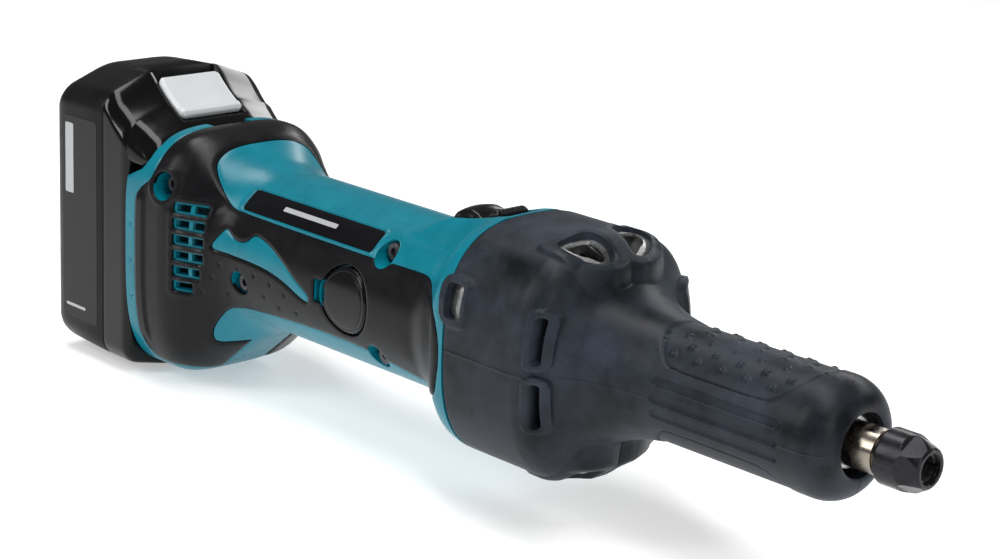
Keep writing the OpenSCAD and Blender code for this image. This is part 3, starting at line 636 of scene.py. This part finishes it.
def housing_surface(x, turn):
    """Outer points of the near half; turn runs from -90 degrees underneath to 90 on top."""
    width, top, bottom, square = housing_section(x)
    radius = square_radius(turn, width, top, bottom, square)
    y = -radius * np.cos(turn)
    z = HANDLE_Z + radius * np.sin(turn)
    lift = np.maximum(smooth_keys(x, SADDLE) - z, 0) * ease(x, 186, 194)
    z = z + np.where(z > 15, lift, 0) * (1 - ease(abs(y), 10.0, 15.5))
    return np.stack([x, y, z], -1)


PANEL = [[56.4, -41], [56.4, 14], [59, 18], [64.5, 22], [66.8, 29], [67.5, 36], [68, 60], [82.5, 60],
         [84.4, 36], [86.4, 30.5], [90, 26], [95, 20.8], [99.5, 17.4], [104, 16.2], [140, 16], [178, 16],
         [190, 16.4],
         [208, 16.6], [216, 14.6], [222, 12.2], [225.6, 9.4], [228.4, 3], [229.2, -4], [228.6, -10],
         [226.4, -18.6],
         [218, -22.2], [209, -26], [203, -29.4], [197, -34], [197, -70], [78, -70], [77, -52.4],
         [60.5, -51.6], [57, -46]]
LOWER_STRIPE = [[87.3, -39.4], [89.6, -33], [94.5, -26.5], [99.5, -22], [104.5, -20.9], [115, -19.7],
                [130, -18.2], [150, -17], [176, -17], [190, -19.4], [206, -22.6], [214, -20], [222.5, -15.8],
                [212, -22], [204, -26.2], [197.5, -30], [191, -36], [191, -70], [109, -70], [107, -34],
                [96, -38.6]]
CREASE = [[70, 26.5], [77, 28], [84, 26], [92, 22], [104, 17], [84, 10], [70, 14]]
WAVE = [[94.2, 1.2], [100.8, 10], [102.4, 9.4], [106, 7], [110, 6.6], [113.5, 7.6], [116.6, 10.6],
        [119.5, 10.6], [127, 8.8], [135, 5.2], [143, 0.4], [150.6, -3.6], [150.6, -6.8], [146, -5.8],
        [137, -2],
        [128, 0],
        [118, 0.8], [106, 0.9]]
BEADS = [[100, -4], [110.4, -3.4], [120, -3.6], [129.4, -4.7], [137.4, -6.8], [96, -9.6], [124.6, -10.6],
         [132.4, -13], [142.6, -12.4], [91, -16.2], [102.4, -15]]
RECESSES = [[72, 21, 5.4, 32], [184, 18.2, 4.6, 19.5], [184, -18.6, 4.6, 20], [110, -9, 4.6, 24]]
COVER = (170.4, -1.0, 12.4)
VENT_ROWS = [14.4, 8.3, 2.2, -3.9, -10, -15.9]


def vent_reach(row):
    """Front end of a row of air slots; the lowest rows are shorter."""
    return (92.2, 92.2, 92.2, 92.2, 90.6, 87.4)[row]


def panel_field(x, y, z, gap=0.0):
    """Distance inside the soft panel."""
    field = np.minimum(inside(x, z, cut_corners(PANEL)), -inside(x, z, cut_corners(LOWER_STRIPE)))
    field = np.minimum(field, -inside(x, z, cut_corners(WAVE, 2)))
    return np.minimum(field, np.where(z > 0, 20, abs(y) - 10.5)) - gap


def side_openings(x, z):
    """Distance inside the openings that pass through panel and housing."""
    hole = np.hypot(x - COVER[0], z - COVER[1])
    hole = COVER[2] + 0.45 - hole
    hole = np.maximum(hole, in_box(x, z, (157.2, -0.6), (3.4, 4.4), 0.6))
    for at, high, radius, _ in RECESSES:
        hole = np.maximum(hole, radius - np.hypot(x - at, z - high))
    return hole


REAR_CUT = [[40, 17], [50.6, 21], [58.4, 25], [61, 29.5], [62.2, 36], [64, 60], [40, 60]]


def rear_openings(x, y, z):
    """Distance inside the battery channel and the latch notch, which are open at the top."""
    upper = np.where(z > -20, 0.0, -50.0)
    channel = np.minimum(62.5 - x, 30.4 - abs(y))
    notch = np.minimum(67.2 - x, 9 - abs(y))
    cut_back = inside(x, z, np.array(REAR_CUT))
    return np.maximum(np.maximum(channel, notch) + upper, cut_back)


def trough(x, y, z):
    """Distance inside the switch trough on top."""
    return np.where(z > 20, in_box(x, y, (212.4, 0), (16.1, 8.3), 2.5), -50)


def half_grid():
    """The near half's grid: stations, turns and outer points."""
    x = spread_steps((50.2, 90, 0.75), (90, 146, 0.5), (146, 231, 0.7))
    turn = np.radians(np.linspace(-90, 90, 185))
    station, angle = grid_of(x, turn)
    return station, angle, housing_surface(station, angle)


def outward(points):
    """Normals of the near half, pointing away from the axis."""
    normal = grid_normals(points)
    away = points * [0, 1, 1] + [0, 0, -HANDLE_Z]
    return np.where((normal * away).sum(-1, keepdims=True) < 0, -normal, normal)


def rounded_edge(field, width=0.9, depth=0.35):
    """How far a surface drops towards its border."""
    t = np.clip(1 - field / width, 0, 1)
    return -depth * t * t


def plate_field(x, turn):
    """Distance inside the name plate's bed, in (station, arc)."""
    arc = HANDLE_R * (turn - math.radians(48.2))
    return in_box(x, arc, (140.2, 0), (36.8, 5.1), 1.6)


def add_teal_half(name, mirror, node):
    """One moulded housing half: flange, handle, flared rim, saddle and islands between the soft panels."""
    x, turn, base = half_grid()
    y, z = base[..., 1], base[..., 2]
    panel = panel_field(x, y, z)
    keep = np.minimum(-panel - 0.12, -side_openings(x, z))
    keep = np.minimum(keep, -rear_openings(x, y, z))
    keep = np.minimum(keep, -trough(x, y, z))
    rise = rounded_edge(keep, 0.7, 0.25)
    if not mirror:
        bed = plate_field(x, turn)
        rise = rise + 0.35 * np.exp(-((bed + 0.5) / 0.45) ** 2) - 0.5 * ease(bed, -0.1, 0.3)
    for dimple in (2.6, -11.6, -26.2):
        rise = rise - 0.55 * np.exp(-((x - 53.6) ** 2 + (z - dimple) ** 2) / 0.8)
    normal = outward(base)
    outer = base + normal * rise[..., None]
    inner = base - normal * 2.4
    outer, inner = sided(mirror, outer, inner)
    piece = shell(name, outer, inner, keep, "housing_teal", "housing", 40)
    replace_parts(piece, node)


def add_panel(name, mirror, node):
    """The soft panel of one side, with its vents, dimples, rib and crease."""
    x, _, base = half_grid()
    y, z = base[..., 1], base[..., 2]
    hole = side_openings(x, z)
    for row, middle in enumerate(VENT_ROWS):
        end = vent_reach(row)
        hole = np.maximum(hole, in_box(x, z, ((78.6 + end) / 2, middle), ((end - 78.6) / 2, 2.15), 0.8))
    panel = panel_field(x, y, z, 0.12)
    keep = np.minimum(panel, -hole)
    rise = 0.4 + rounded_edge(panel, 1.3, 0.5) + rounded_edge(-hole, 0.8, 0.3)
    ridge = 0.3 * np.exp(-((hole + 1.2) / 0.7) ** 2) * (x < 95)
    rib = 0.8 * ease(x, 56.6, 58) * (1 - ease(x, 62, 63.2)) * ease(z, -44, -38) * (1 - ease(z, 13, 18))
    crease = inside(x, z, cut_corners(CREASE))
    dip = -0.5 * np.exp(-(((x - 214) / 11) ** 2 + ((z + 8) / 8) ** 2) ** 2)
    rise = rise + ridge + rib + dip - 0.3 * ease(crease, -0.3, 2.5) * (1 - ease(crease, 2.5, 9))
    for at, high in BEADS:
        rise = rise - 0.6 * np.exp(-((x - at) ** 2 + (z - high) ** 2) / 0.55)
    normal = outward(base)
    outer = base + normal * rise[..., None]
    inner = base - normal * 1.3
    outer, inner = sided(mirror, outer, inner)
    piece = shell(name, outer, inner, keep, "grip_black", "housing", 45)
    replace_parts(piece, node)


def add_vent_insert(name, mirror):
    """The teal layer that shows inside the air slots, with its cross bars."""
    x = np.linspace(77, 94, 70)
    turn = np.radians(np.linspace(-30, 40, 150))
    station, angle = grid_of(x, turn)
    base = housing_surface(station, angle)
    z = base[..., 2]
    hole = np.full(x.shape[:1] + turn.shape, -9.0)
    for row, middle in enumerate(VENT_ROWS):
        end = vent_reach(row)
        cell = in_box(station, z, ((79.6 + end) / 2, middle), ((end - 79.6) / 2, 1.45), 0.3)
        bar = in_box(station, z, (86.2, middle), (0.75, 3), 0.1)
        hole = np.maximum(hole, np.minimum(cell, -bar) if row < 5 else cell)
    normal = outward(base)
    outer = base - normal * 0.9
    inner = base - normal * 3.4
    outer, inner = sided(mirror, outer, inner)
    edge = in_box(station, z, (85.5, -0.7), (8.3, 18.4), 1)
    shell(name, outer, inner, np.minimum(edge, -hole), "housing_teal", "housing", 40)


def side_y(x, z):
    """Half width of the housing at a station and height."""
    width, top, bottom, square = housing_section(np.asarray(x, float))
    high = np.where(z > HANDLE_Z, top, bottom)
    share = np.clip(abs(z - HANDLE_Z) / high, 0, 1)
    return width * (1 - share ** square) ** (1 / square)


def add_well(name, outline, depth_y, wall, mirror, slot="housing_teal", drop=0.15):
    """The lining of a recess: its wall follows the housing's surface and ends in a flat floor."""
    outline = np.array(outline, float)
    middle = outline.mean(0)
    away = outline - middle
    wide = middle + away * (1 + wall / np.linalg.norm(away, axis=1, keepdims=True))
    lip = side_y(outline[:, 0], outline[:, 1]) - drop
    outer_lip = side_y(wide[:, 0], wide[:, 1]) - drop - 0.5
    count = len(outline)
    side = 1 if mirror else -1

    def ring(points, y):
        return np.stack([points[:, 0], side * (y + np.zeros(count)), points[:, 1]], -1)

    rings = [ring(wide, depth_y - 1.2), ring(wide, outer_lip), ring(outline, lip), ring(outline, depth_y)]
    loft(name, rings, slot, "housing", 40)


def add_housing_screws():
    """Five screws across the housing, their heads deep in the recesses of the near side."""
    screws = []
    for x, z, depth in ((72, 21, 32), (184, 18.4, 19.5), (184, -18.6, 22), (110, -9, 27), (84, -40, 17.5)):
        head = MOUTH_X - depth
        end = MOUTH_X + depth - 11
        profile = [(head + 1.6, 0.05), (head + 1.6, 1.4), (head + 0.5, 1.6), (head + 0.3, 3.0),
                   (head + 0.7, 3.4), (head + 2.9, 3.4), (head + 2.95, 1.5), (end, 1.5), (end, 0.05)]
        screw = lathe("housing_screw", profile, "dark_steel", "housing", 36)
        screw.data.transform(Matrix.Rotation(math.pi / 2, 4, "Z"))
        screw.data.transform(Matrix.Translation(((x - MOUTH_X) / 1000, 0, z / 1000)))
        screws.append(screw)
    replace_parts(joined("body_screws", screws), "housing_screws")


def circle(x, z, radius, count=48):
    turn = np.linspace(0, 2 * np.pi, count, endpoint=False)
    return np.stack([x + radius * np.cos(turn), z + radius * np.sin(turn)], -1)


def add_wells():
    """Linings of the screw recesses and of the round brush openings, on both sides."""
    for mirror in (False, True):
        side = "right" if mirror else "left"
        for k, (x, z, radius, depth) in enumerate(RECESSES):
            if not (mirror and k == 3):
                floor = side_y(x, z) - 6 if mirror else depth - 3.0
                add_well(f"screw_well_{side}_{k}", circle(x, z, radius), floor, 0.8, mirror)
        ring = circle(*COVER[:2], COVER[2] + 0.45, 72)
        add_well(f"brush_well_{side}", ring, 25.0, 1.0, mirror)
        notch = [[153.9, -5], [160, -5], [160, 3.8], [153.9, 3.8]]
        add_well(f"pry_well_{side}", notch, 26.2, 0.6, mirror)


def add_covers():
    """Round covers over the carbon brushes, each with a rim line and a pry notch."""
    for side, mirror in (("left", False), ("right", True)):
        x = np.linspace(157, 184, 76)
        z = np.linspace(-14.5, 12.5, 76)
        station, high = grid_of(x, z)
        out = np.sqrt((HANDLE_R + 0.35) ** 2 - (high - HANDLE_Z) ** 2)
        base = np.stack([station, -out, high], -1)
        from_middle = np.hypot(station - COVER[0], high - COVER[1])
        rim = 11.9 - from_middle
        rise = rounded_edge(rim, 1.0, 0.6) - 0.22 * np.exp(-((rim - 1.6) / 0.35) ** 2)
        notch = in_box(station, high, (158.6, -0.9), (1.7, 2.6), 0.4)
        outer = base - [0, 1, 0] * rise[..., None]
        inner = np.stack([station, np.full(station.shape, -25.4), high], -1)
        outer, inner = sided(mirror, outer, inner)
        field = np.minimum(rim, -notch)
        piece = shell(f"brush_cap_cover_{side}", outer, inner, field, "knob_black", f"cover_{side}", 45)
        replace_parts(piece, f"brush_cover_{side}")


def add_name_plate():
    """Blank curved plate with one pale bar, in its bed on the handle."""
    x = np.linspace(102, 179, 180)
    turn = np.radians(np.linspace(36, 60, 60))
    station, angle = grid_of(x, turn)

    def at(radius):
        return np.stack([station, -radius * np.cos(angle), HANDLE_Z + radius * np.sin(angle)], -1)

    bed = plate_field(station, angle)
    inner = at(HANDLE_R - 0.6)
    outer = at(HANDLE_R - 0.12) + rounded_edge(bed, 0.5, 0.15)[..., None] * [0, 0, 1]
    piece = shell("blank_plate", outer, inner, bed - 0.15, "plate_black", "housing", 40)
    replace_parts(piece, "name_plate")
    arc = HANDLE_R * (angle - math.radians(48.2))
    bar = in_box(station, arc, (139, 0.4), (15, 1.0), 0.2)
    shell("plate_bar", at(HANDLE_R - 0.09), at(HANDLE_R - 0.3), bar, "label_print", "housing", 40)


def flange_field(y, z, inset=0.0):
    """Distance inside the flange's rear outline."""
    turn = np.arctan2(z - HANDLE_Z, abs(y))
    width, top, bottom, square = housing_section(np.full(1, 50.2))
    return square_radius(turn, width[0], top[0], bottom[0], square[0]) - np.hypot(y, z - HANDLE_Z) - inset


def add_rear_face():
    """Flange's rear face round the battery channel, the channel's lining and the switch trough's floor."""
    y, z = grid_of(np.linspace(-39, 39, 132), np.linspace(-60, 42, 170))
    channel = in_box(y, z, (0, 20), (26.4, 66), 1)
    field = np.minimum(np.minimum(flange_field(y, z, 0.25), -channel), 20.4 - z)
    plane = np.stack([np.full(y.shape, 50.3), y, z], -1)
    shell("flange_face", plane, plane + [3.2, 0, 0], field, "housing_teal", "housing")
    wall = np.minimum(flange_field(y, z, 2.6), in_box(y, z, (0, 0), (32, 47), 1))
    wall = np.minimum(wall, -in_box(y, z, (0, 37.5), (9, 5), 0.5))
    wall = np.minimum(wall, -in_box(y, z, (0, -33), (18, 9), 0.5))
    plane = np.stack([np.full(y.shape, 62.6), y, z], -1)
    shell("channel_back", plane, plane + [2, 0, 0], wall, "housing_teal", "housing")
    for side in (-1, 1):
        low, high = sorted((side * 30.5, side * 32.4))
        teal_block(f"channel_side_{'left' if side < 0 else 'right'}", (53.2, low, -47), (64, high, 29))
    teal_block("channel_floor", (53.2, -32, -47.6), (64, 32, -46.1))
    teal_block("notch_floor", (61.8, -10.4, 30.9), (68.6, 10.4, 32.4))
    teal_block("notch_front", (67.3, -10.4, 31), (68.9, 10.4, 38.6))
    x, y = grid_of(np.linspace(195, 230, 90), np.linspace(-10, 10, 52))
    floor = np.minimum(in_box(x, y, (212.4, 0), (17, 9.4), 2), -in_box(x, y, (209.9, 0), (6.5, 4.4), 1))
    plane = np.stack([x, y, np.full(x.shape, 31.3)], -1)
    shell("trough_floor", plane, plane - [0, 0, 1.6], floor, "housing_teal", "housing")
    shell("saddle_front", *saddle_front(), "housing_teal", "housing")


def saddle_front():
    """Grids of the wall that closes the saddle in front of the switch."""
    y, z = grid_of(np.linspace(-12, 12, 40), np.linspace(29, 40, 24))
    plane = np.stack([np.full(y.shape, 228.6), y, z], -1)
    return plane, plane + [1.6, 0, 0], in_box(y, z, (0, 33.8), (9.5, 4.6), 0.5)


def add_knob():
    """Slide switch: a domed rear half, a dip and a tall cross ridge."""
    x, y = grid_of(spread_steps((199.6, 224, 0.3)), np.linspace(-7.9, 7.9, 54))
    height = smooth_keys(x, [[199.8, 33.4], [202, 35.8], [205, 37.4], [208.5, 38], [212, 37.3], [214.8, 35.9],
                             [216.4, 35.7], [218, 37.4], [219.8, 39.4], [221.4, 39.8],
                             [222.8, 39.3], [223.6, 37.6]])
    field = in_box(x, y, (211.8, 0), (11.8, 7.45), 1.6)
    crown = 1.1 * (y / 7.5) ** 2 * np.exp(-((x - 207) / 8) ** 4)
    height = height - crown + rounded_edge(field, 1.6, 1.0)
    outer = np.stack([x, y, height], -1)
    inner = np.stack([x, y, np.full(x.shape, 31.95)], -1)
    piece = shell("knob_skin", outer, inner, field, "knob_black", "switch", 50)
    leg = slab("knob_leg", (204.2, -4, 25.1), (211, 4, 32.4), "knob_black", "switch", 0.3)
    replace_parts(joined("knob_skin", [piece, leg]), "switch_knob")


# ---------------------------------------------------------------- battery

def rounded_outline(points, radius, steps=5):
    """A closed outline with each corner turned into an arc of points."""
    points = np.array(points, float)
    result = []
    for before, at, after in zip(np.roll(points, 1, axis=0), points, np.roll(points, -1, axis=0)):
        to_before = before - at
        to_after = after - at
        reach = min(radius, np.linalg.norm(to_before) * 0.45, np.linalg.norm(to_after) * 0.45)
        start = at + to_before / np.linalg.norm(to_before) * reach
        end = at + to_after / np.linalg.norm(to_after) * reach
        for t in np.linspace(0, 1, steps):
            result.append(start * (1 - t) ** 2 + 2 * at * t * (1 - t) + end * t * t)
    return np.array(result)


def battery_ring(x, inset, top, bottom=-60.0):
    """The battery's section at a station, with its top at a height."""
    half = [[15, bottom + inset], [33.5 - inset, bottom + 4 + inset], [37 - inset, bottom + 9 + inset],
            [37 - inset, top - 12 - inset], [33 - inset, top - 7 - inset], [14, top - inset]]
    full = half + [[-y, z] for y, z in reversed(half)]
    ring = rounded_outline(full, 5)
    return np.column_stack([np.full(len(ring), x), ring])


def add_battery_rear():
    """Satin rear case with a soft rear edge and a parting line."""
    rings = [battery_ring(x, inset, 54.5 + 2 * x / 33.5, -58.5 - 1.5 * x / 33.5)
             for x, inset in ((0, 5.2), (0.25, 3.4), (0.9, 2.1), (2, 1.2), (3.6, 0.6), (6, 0.25), (9, 0.1),
                              (20, 0), (32.6, 0), (33.1, 0.15), (33.35, 0.5), (33.4, 3))]
    piece = loft("case_rear_skin", rings, "battery_shell_matte", "battery", 30)
    cut_away(piece, (32.2, -POCKET_HALF, 50), (40, POCKET_HALF, 60))
    ribs = [slab(f"rear_foot_{k}", (6 + 7 * k, -22, -59.95), (9 + 7 * k, 22, -58.6), "battery_shell_matte",
                 "battery") for k in range(3)]
    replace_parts(joined("case_rear_skin", [piece, *ribs]), "battery_rear_case")


def slope_height(x):
    """Height of the battery's sloping front top."""
    return smooth_keys(x, [[33.4, 56.9], [36, 55.2], [40, 51.4], [45, 47.4], [49.5, 44.4], [54, 41.8],
                            [58, 39.4], [62, 37.2]])


def add_battery_screws():
    """Two long case screws, seated under the slope."""
    screws = []
    for y in (-24, 24):
        profile = [(18, 0.05), (18, 1.4), (38.3, 1.4), (38.4, 2.6), (39.8, 2.6), (40.2, 2.2), (40.2, 1.1),
                   (39.2, 1.1), (39.2, 0.05)]
        screw = lathe("case_screw", profile, "dark_steel", "battery", 32, 44)
        screw.data.transform(Matrix.Translation((0, y / 1000, 0)))
        screws.append(screw)
    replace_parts(joined("case_screws", screws), "battery_screws")


POCKET_HALF = 14.8


def cut_away(piece, low, high):
    """Cuts a block out of a piece."""
    cutter = gloss_block("cutter", low, high)
    cutter.modifiers.clear()
    cut = piece.modifiers.new("cut", "BOOLEAN")
    cut.object = cutter
    cut.operation = "DIFFERENCE"
    cut.solver = "EXACT"
    with bpy.context.temp_override(object=piece, active_object=piece, selected_objects=[piece]):
        bpy.ops.object.modifier_apply(modifier=cut.name)
    bpy.data.objects.remove(cutter)


def shoulder_ring(x, inset):
    """Section of the sloping block that fills the flange's cut-back top."""
    top = float(slope_height(np.array(x))) - inset
    low = 24.5 + max(0, x - 56) * 0.9
    side = 36.2 - (x - 49) * 0.2 - inset
    half = [[15, low], [side, low], [side, top - 11], [side - 4, top - 5], [14, top]]
    ring = rounded_outline(half + [[-y, z] for y, z in reversed(half)], 4)
    return np.column_stack([np.full(len(ring), x), ring])


def add_battery_front():
    """Polished front case: concave slope, button pocket, latch slot, rails and contact fins."""
    insets = [(33.45, 3), (33.55, 0.5), (34, 0.05), *[(x, 0) for x in np.arange(35, 46.1, 1.0)], (47.4, 0.15),
              (48.6, 0.6), (49.3, 1.4), (49.5, 3)]
    rings = [battery_ring(x, inset, float(slope_height(np.array(x)))) for x, inset in insets]
    body = loft("case_front_skin", rings, "battery_shell_gloss", "battery", 38)
    spans = [(48, 0), *[(x, 0) for x in np.arange(49, 60.5, 1.0)], (61, 0.4), (61.5, 1.4)]
    block = loft("front_shoulder", [shoulder_ring(x, inset) for x, inset in spans], "battery_shell_gloss",
                 "battery", 38)
    cut_away(body, (33.0, -POCKET_HALF, 40.2), (60, POCKET_HALF, 70))
    cut_away(block, (33.0, -POCKET_HALF, 40.2), (56.4, POCKET_HALF, 70))
    cut_away(body, (44.4, -9, 32), (70, 9, 42.5))
    cut_away(block, (44.4, -9, 20), (70, 9, 37.2))
    parts = [body, block]
    for side in (-1, 1):
        for k, (near, far, x0, x1, low_z, high_z) in enumerate(((9.2, 25.8, 49.2, 61.9, 2, 31),
                                                                (22, 25.8, 49.2, 56.8, -43, 28),
                                                                (22, 30, 54, 56.8, -43, 28))):
            low, high = sorted((side * near, side * far))
            parts.append(gloss_block(f"rail_{k}", (x0, low, low_z), (x1, high, high_z)))
    parts.append(gloss_block("front_block", (49.2, -9.3, 2), (61.9, 9.3, 31.4)))
    for y in (-21, -7, 7, 21):
        wide = 5.2 if abs(y) < 10 else 4.8
        parts.append(gloss_block(f"fin_{y}", (53.2, y - wide, -20), (61.8, y + wide, -1)))
    parts.append(gloss_block("fin_web", (49.2, -25.8, -20), (53.1, 25.8, -1)))
    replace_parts(joined("case_front_skin", parts), "battery_front_case")


def add_button():
    """White latch button: a rounded plate on the slope with a step near its lower edge, and its hook."""
    run, y = grid_of(np.linspace(0, 1, 60), np.linspace(-14.4, 14.4, 70))
    x = 37.9 + run * 16.8
    z = slope_height(x) + 0.2
    length = run * 20.5
    field = in_box(length, y, (10.25, 0), (10.2, 14.3), 2.2)
    step = 0.45 * ease(length, 16.0, 16.8) * (1 - ease(length, 18.8, 19.6))
    lift = 1.15 + step + rounded_edge(field, 1.2, 0.9)
    slope = np.array([0.59, 0, 0.807])
    base = np.stack([x, y, z], -1)
    outer = base + slope * lift[..., None]
    plate = shell("button_skin", outer, base - slope * 1.2, field, "latch_white", "latch", 50)
    hook = slab("button_hook", (49, -8, 33), (51.8, 8, 43), "latch_white", "latch", 0.4)
    catch = slab("button_catch", (51.5, -8, 33), (63.5, 8, 36.6), "latch_white", "latch", 0.6)
    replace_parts(joined("button_skin", [plate, hook, catch]), "latch_button")


def add_side_labels():
    """Blank printed labels on the battery's sides, with generic bars."""
    pieces = []
    for side in (-1, 1):
        x, z = grid_of(np.linspace(4, 32, 60), np.linspace(-48, 40, 150))
        plane = np.stack([x, np.full(x.shape, side * 37.12), z], -1)
        field = in_box(x, z, (18, -4), (11.5, 41), 2)
        under = plane - [0, side * 0.2, 0]
        pieces.append(shell(f"label_{side}", plane, under, field, "plate_black", "battery"))
        bars = np.maximum(in_box(x, z, (11, 20), (2.7, 14), 0.3), in_box(x, z, (15, -40), (6.5, 0.6), 0.2))
        plane = plane + [0, side * 0.05, 0]
        shell(f"label_bar_{'left' if side < 0 else 'right'}", plane, plane - [0, side * 0.08, 0], bars,
              "label_print", "battery")
    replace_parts(joined("label_films", pieces), "battery_labels")


# ---------------------------------------------------------------- collet nut and dust ring

def add_dust_ring():
    """Turned ring deep in the boot's nose."""
    profile = [(368, 7.3), (368, 9.8), (371.2, 9.8), (371.6, 9.4), (371.8, 8.6), (372.6, 8.3), (372.6, 7.3)]
    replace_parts(lathe("dust_ring_turned", profile, "steel", "rotor"), "dust_ring")


def add_nut():
    """Black collet nut: a cylinder with six front flats that start in curved shoulders and taper."""
    x = spread_steps((386.8, 387.3, 0.12), (387.3, 393.5, 0.6), (393.5, 402, 0.14))
    turn = np.linspace(-np.pi, np.pi, 289)
    station, angle = grid_of(x, turn)
    barrel = 9.0 - 0.4 * ease(-station, -387.25, -386.8)
    off = (angle + np.pi / 6) % (np.pi / 3) - np.pi / 6
    shoulder = (9.0 - 0.66 * (station - 394.4)) / np.cos(off)
    flat = (8.0 - 0.3 * (station - 396.2)) / np.cos(off)
    cone = 9.0 - 0.58 * (station - 397.2)
    radius = np.minimum(np.minimum(barrel, cone), np.maximum(shoulder, flat))
    lip = ease(station, 401.4, 402) * 0.35
    radius = radius - lip
    outer = np.stack([station, radius * np.cos(angle), radius * np.sin(angle)], -1)
    hole = smooth_keys(station, [[386.8, 6.84], [397.7, 6.84], [397.9, 6.1], [400.3, 5.35], [400.4, 4.8],
                                 [401.6, 4.7],
                                 [402, 5.1]])
    inner = np.stack([station, hole * np.cos(angle), hole * np.sin(angle)], -1)
    piece = shell("nut_skin", outer, inner, np.ones(station.shape), "nut_black", "nut", 22)
    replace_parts(piece, "collet_nut")


# ---------------------------------------------------------------- the whole scene

add_camera()
add_studio()
add_floor()
paint_nodes()
add_boot()
add_teal_half("half_left", False, "housing_left")
add_teal_half("half_right", True, "housing_right")
add_panel("panel_left", False, "grip_left")
add_panel("panel_right", True, "grip_right")
add_vent_insert("vent_layer_left", False)
add_vent_insert("vent_layer_right", True)
add_wells()
add_housing_screws()
add_covers()
add_name_plate()
add_rear_face()
add_knob()
add_battery_rear()
add_battery_front()
add_battery_screws()
add_button()
add_side_labels()
add_nut()
add_dust_ring()
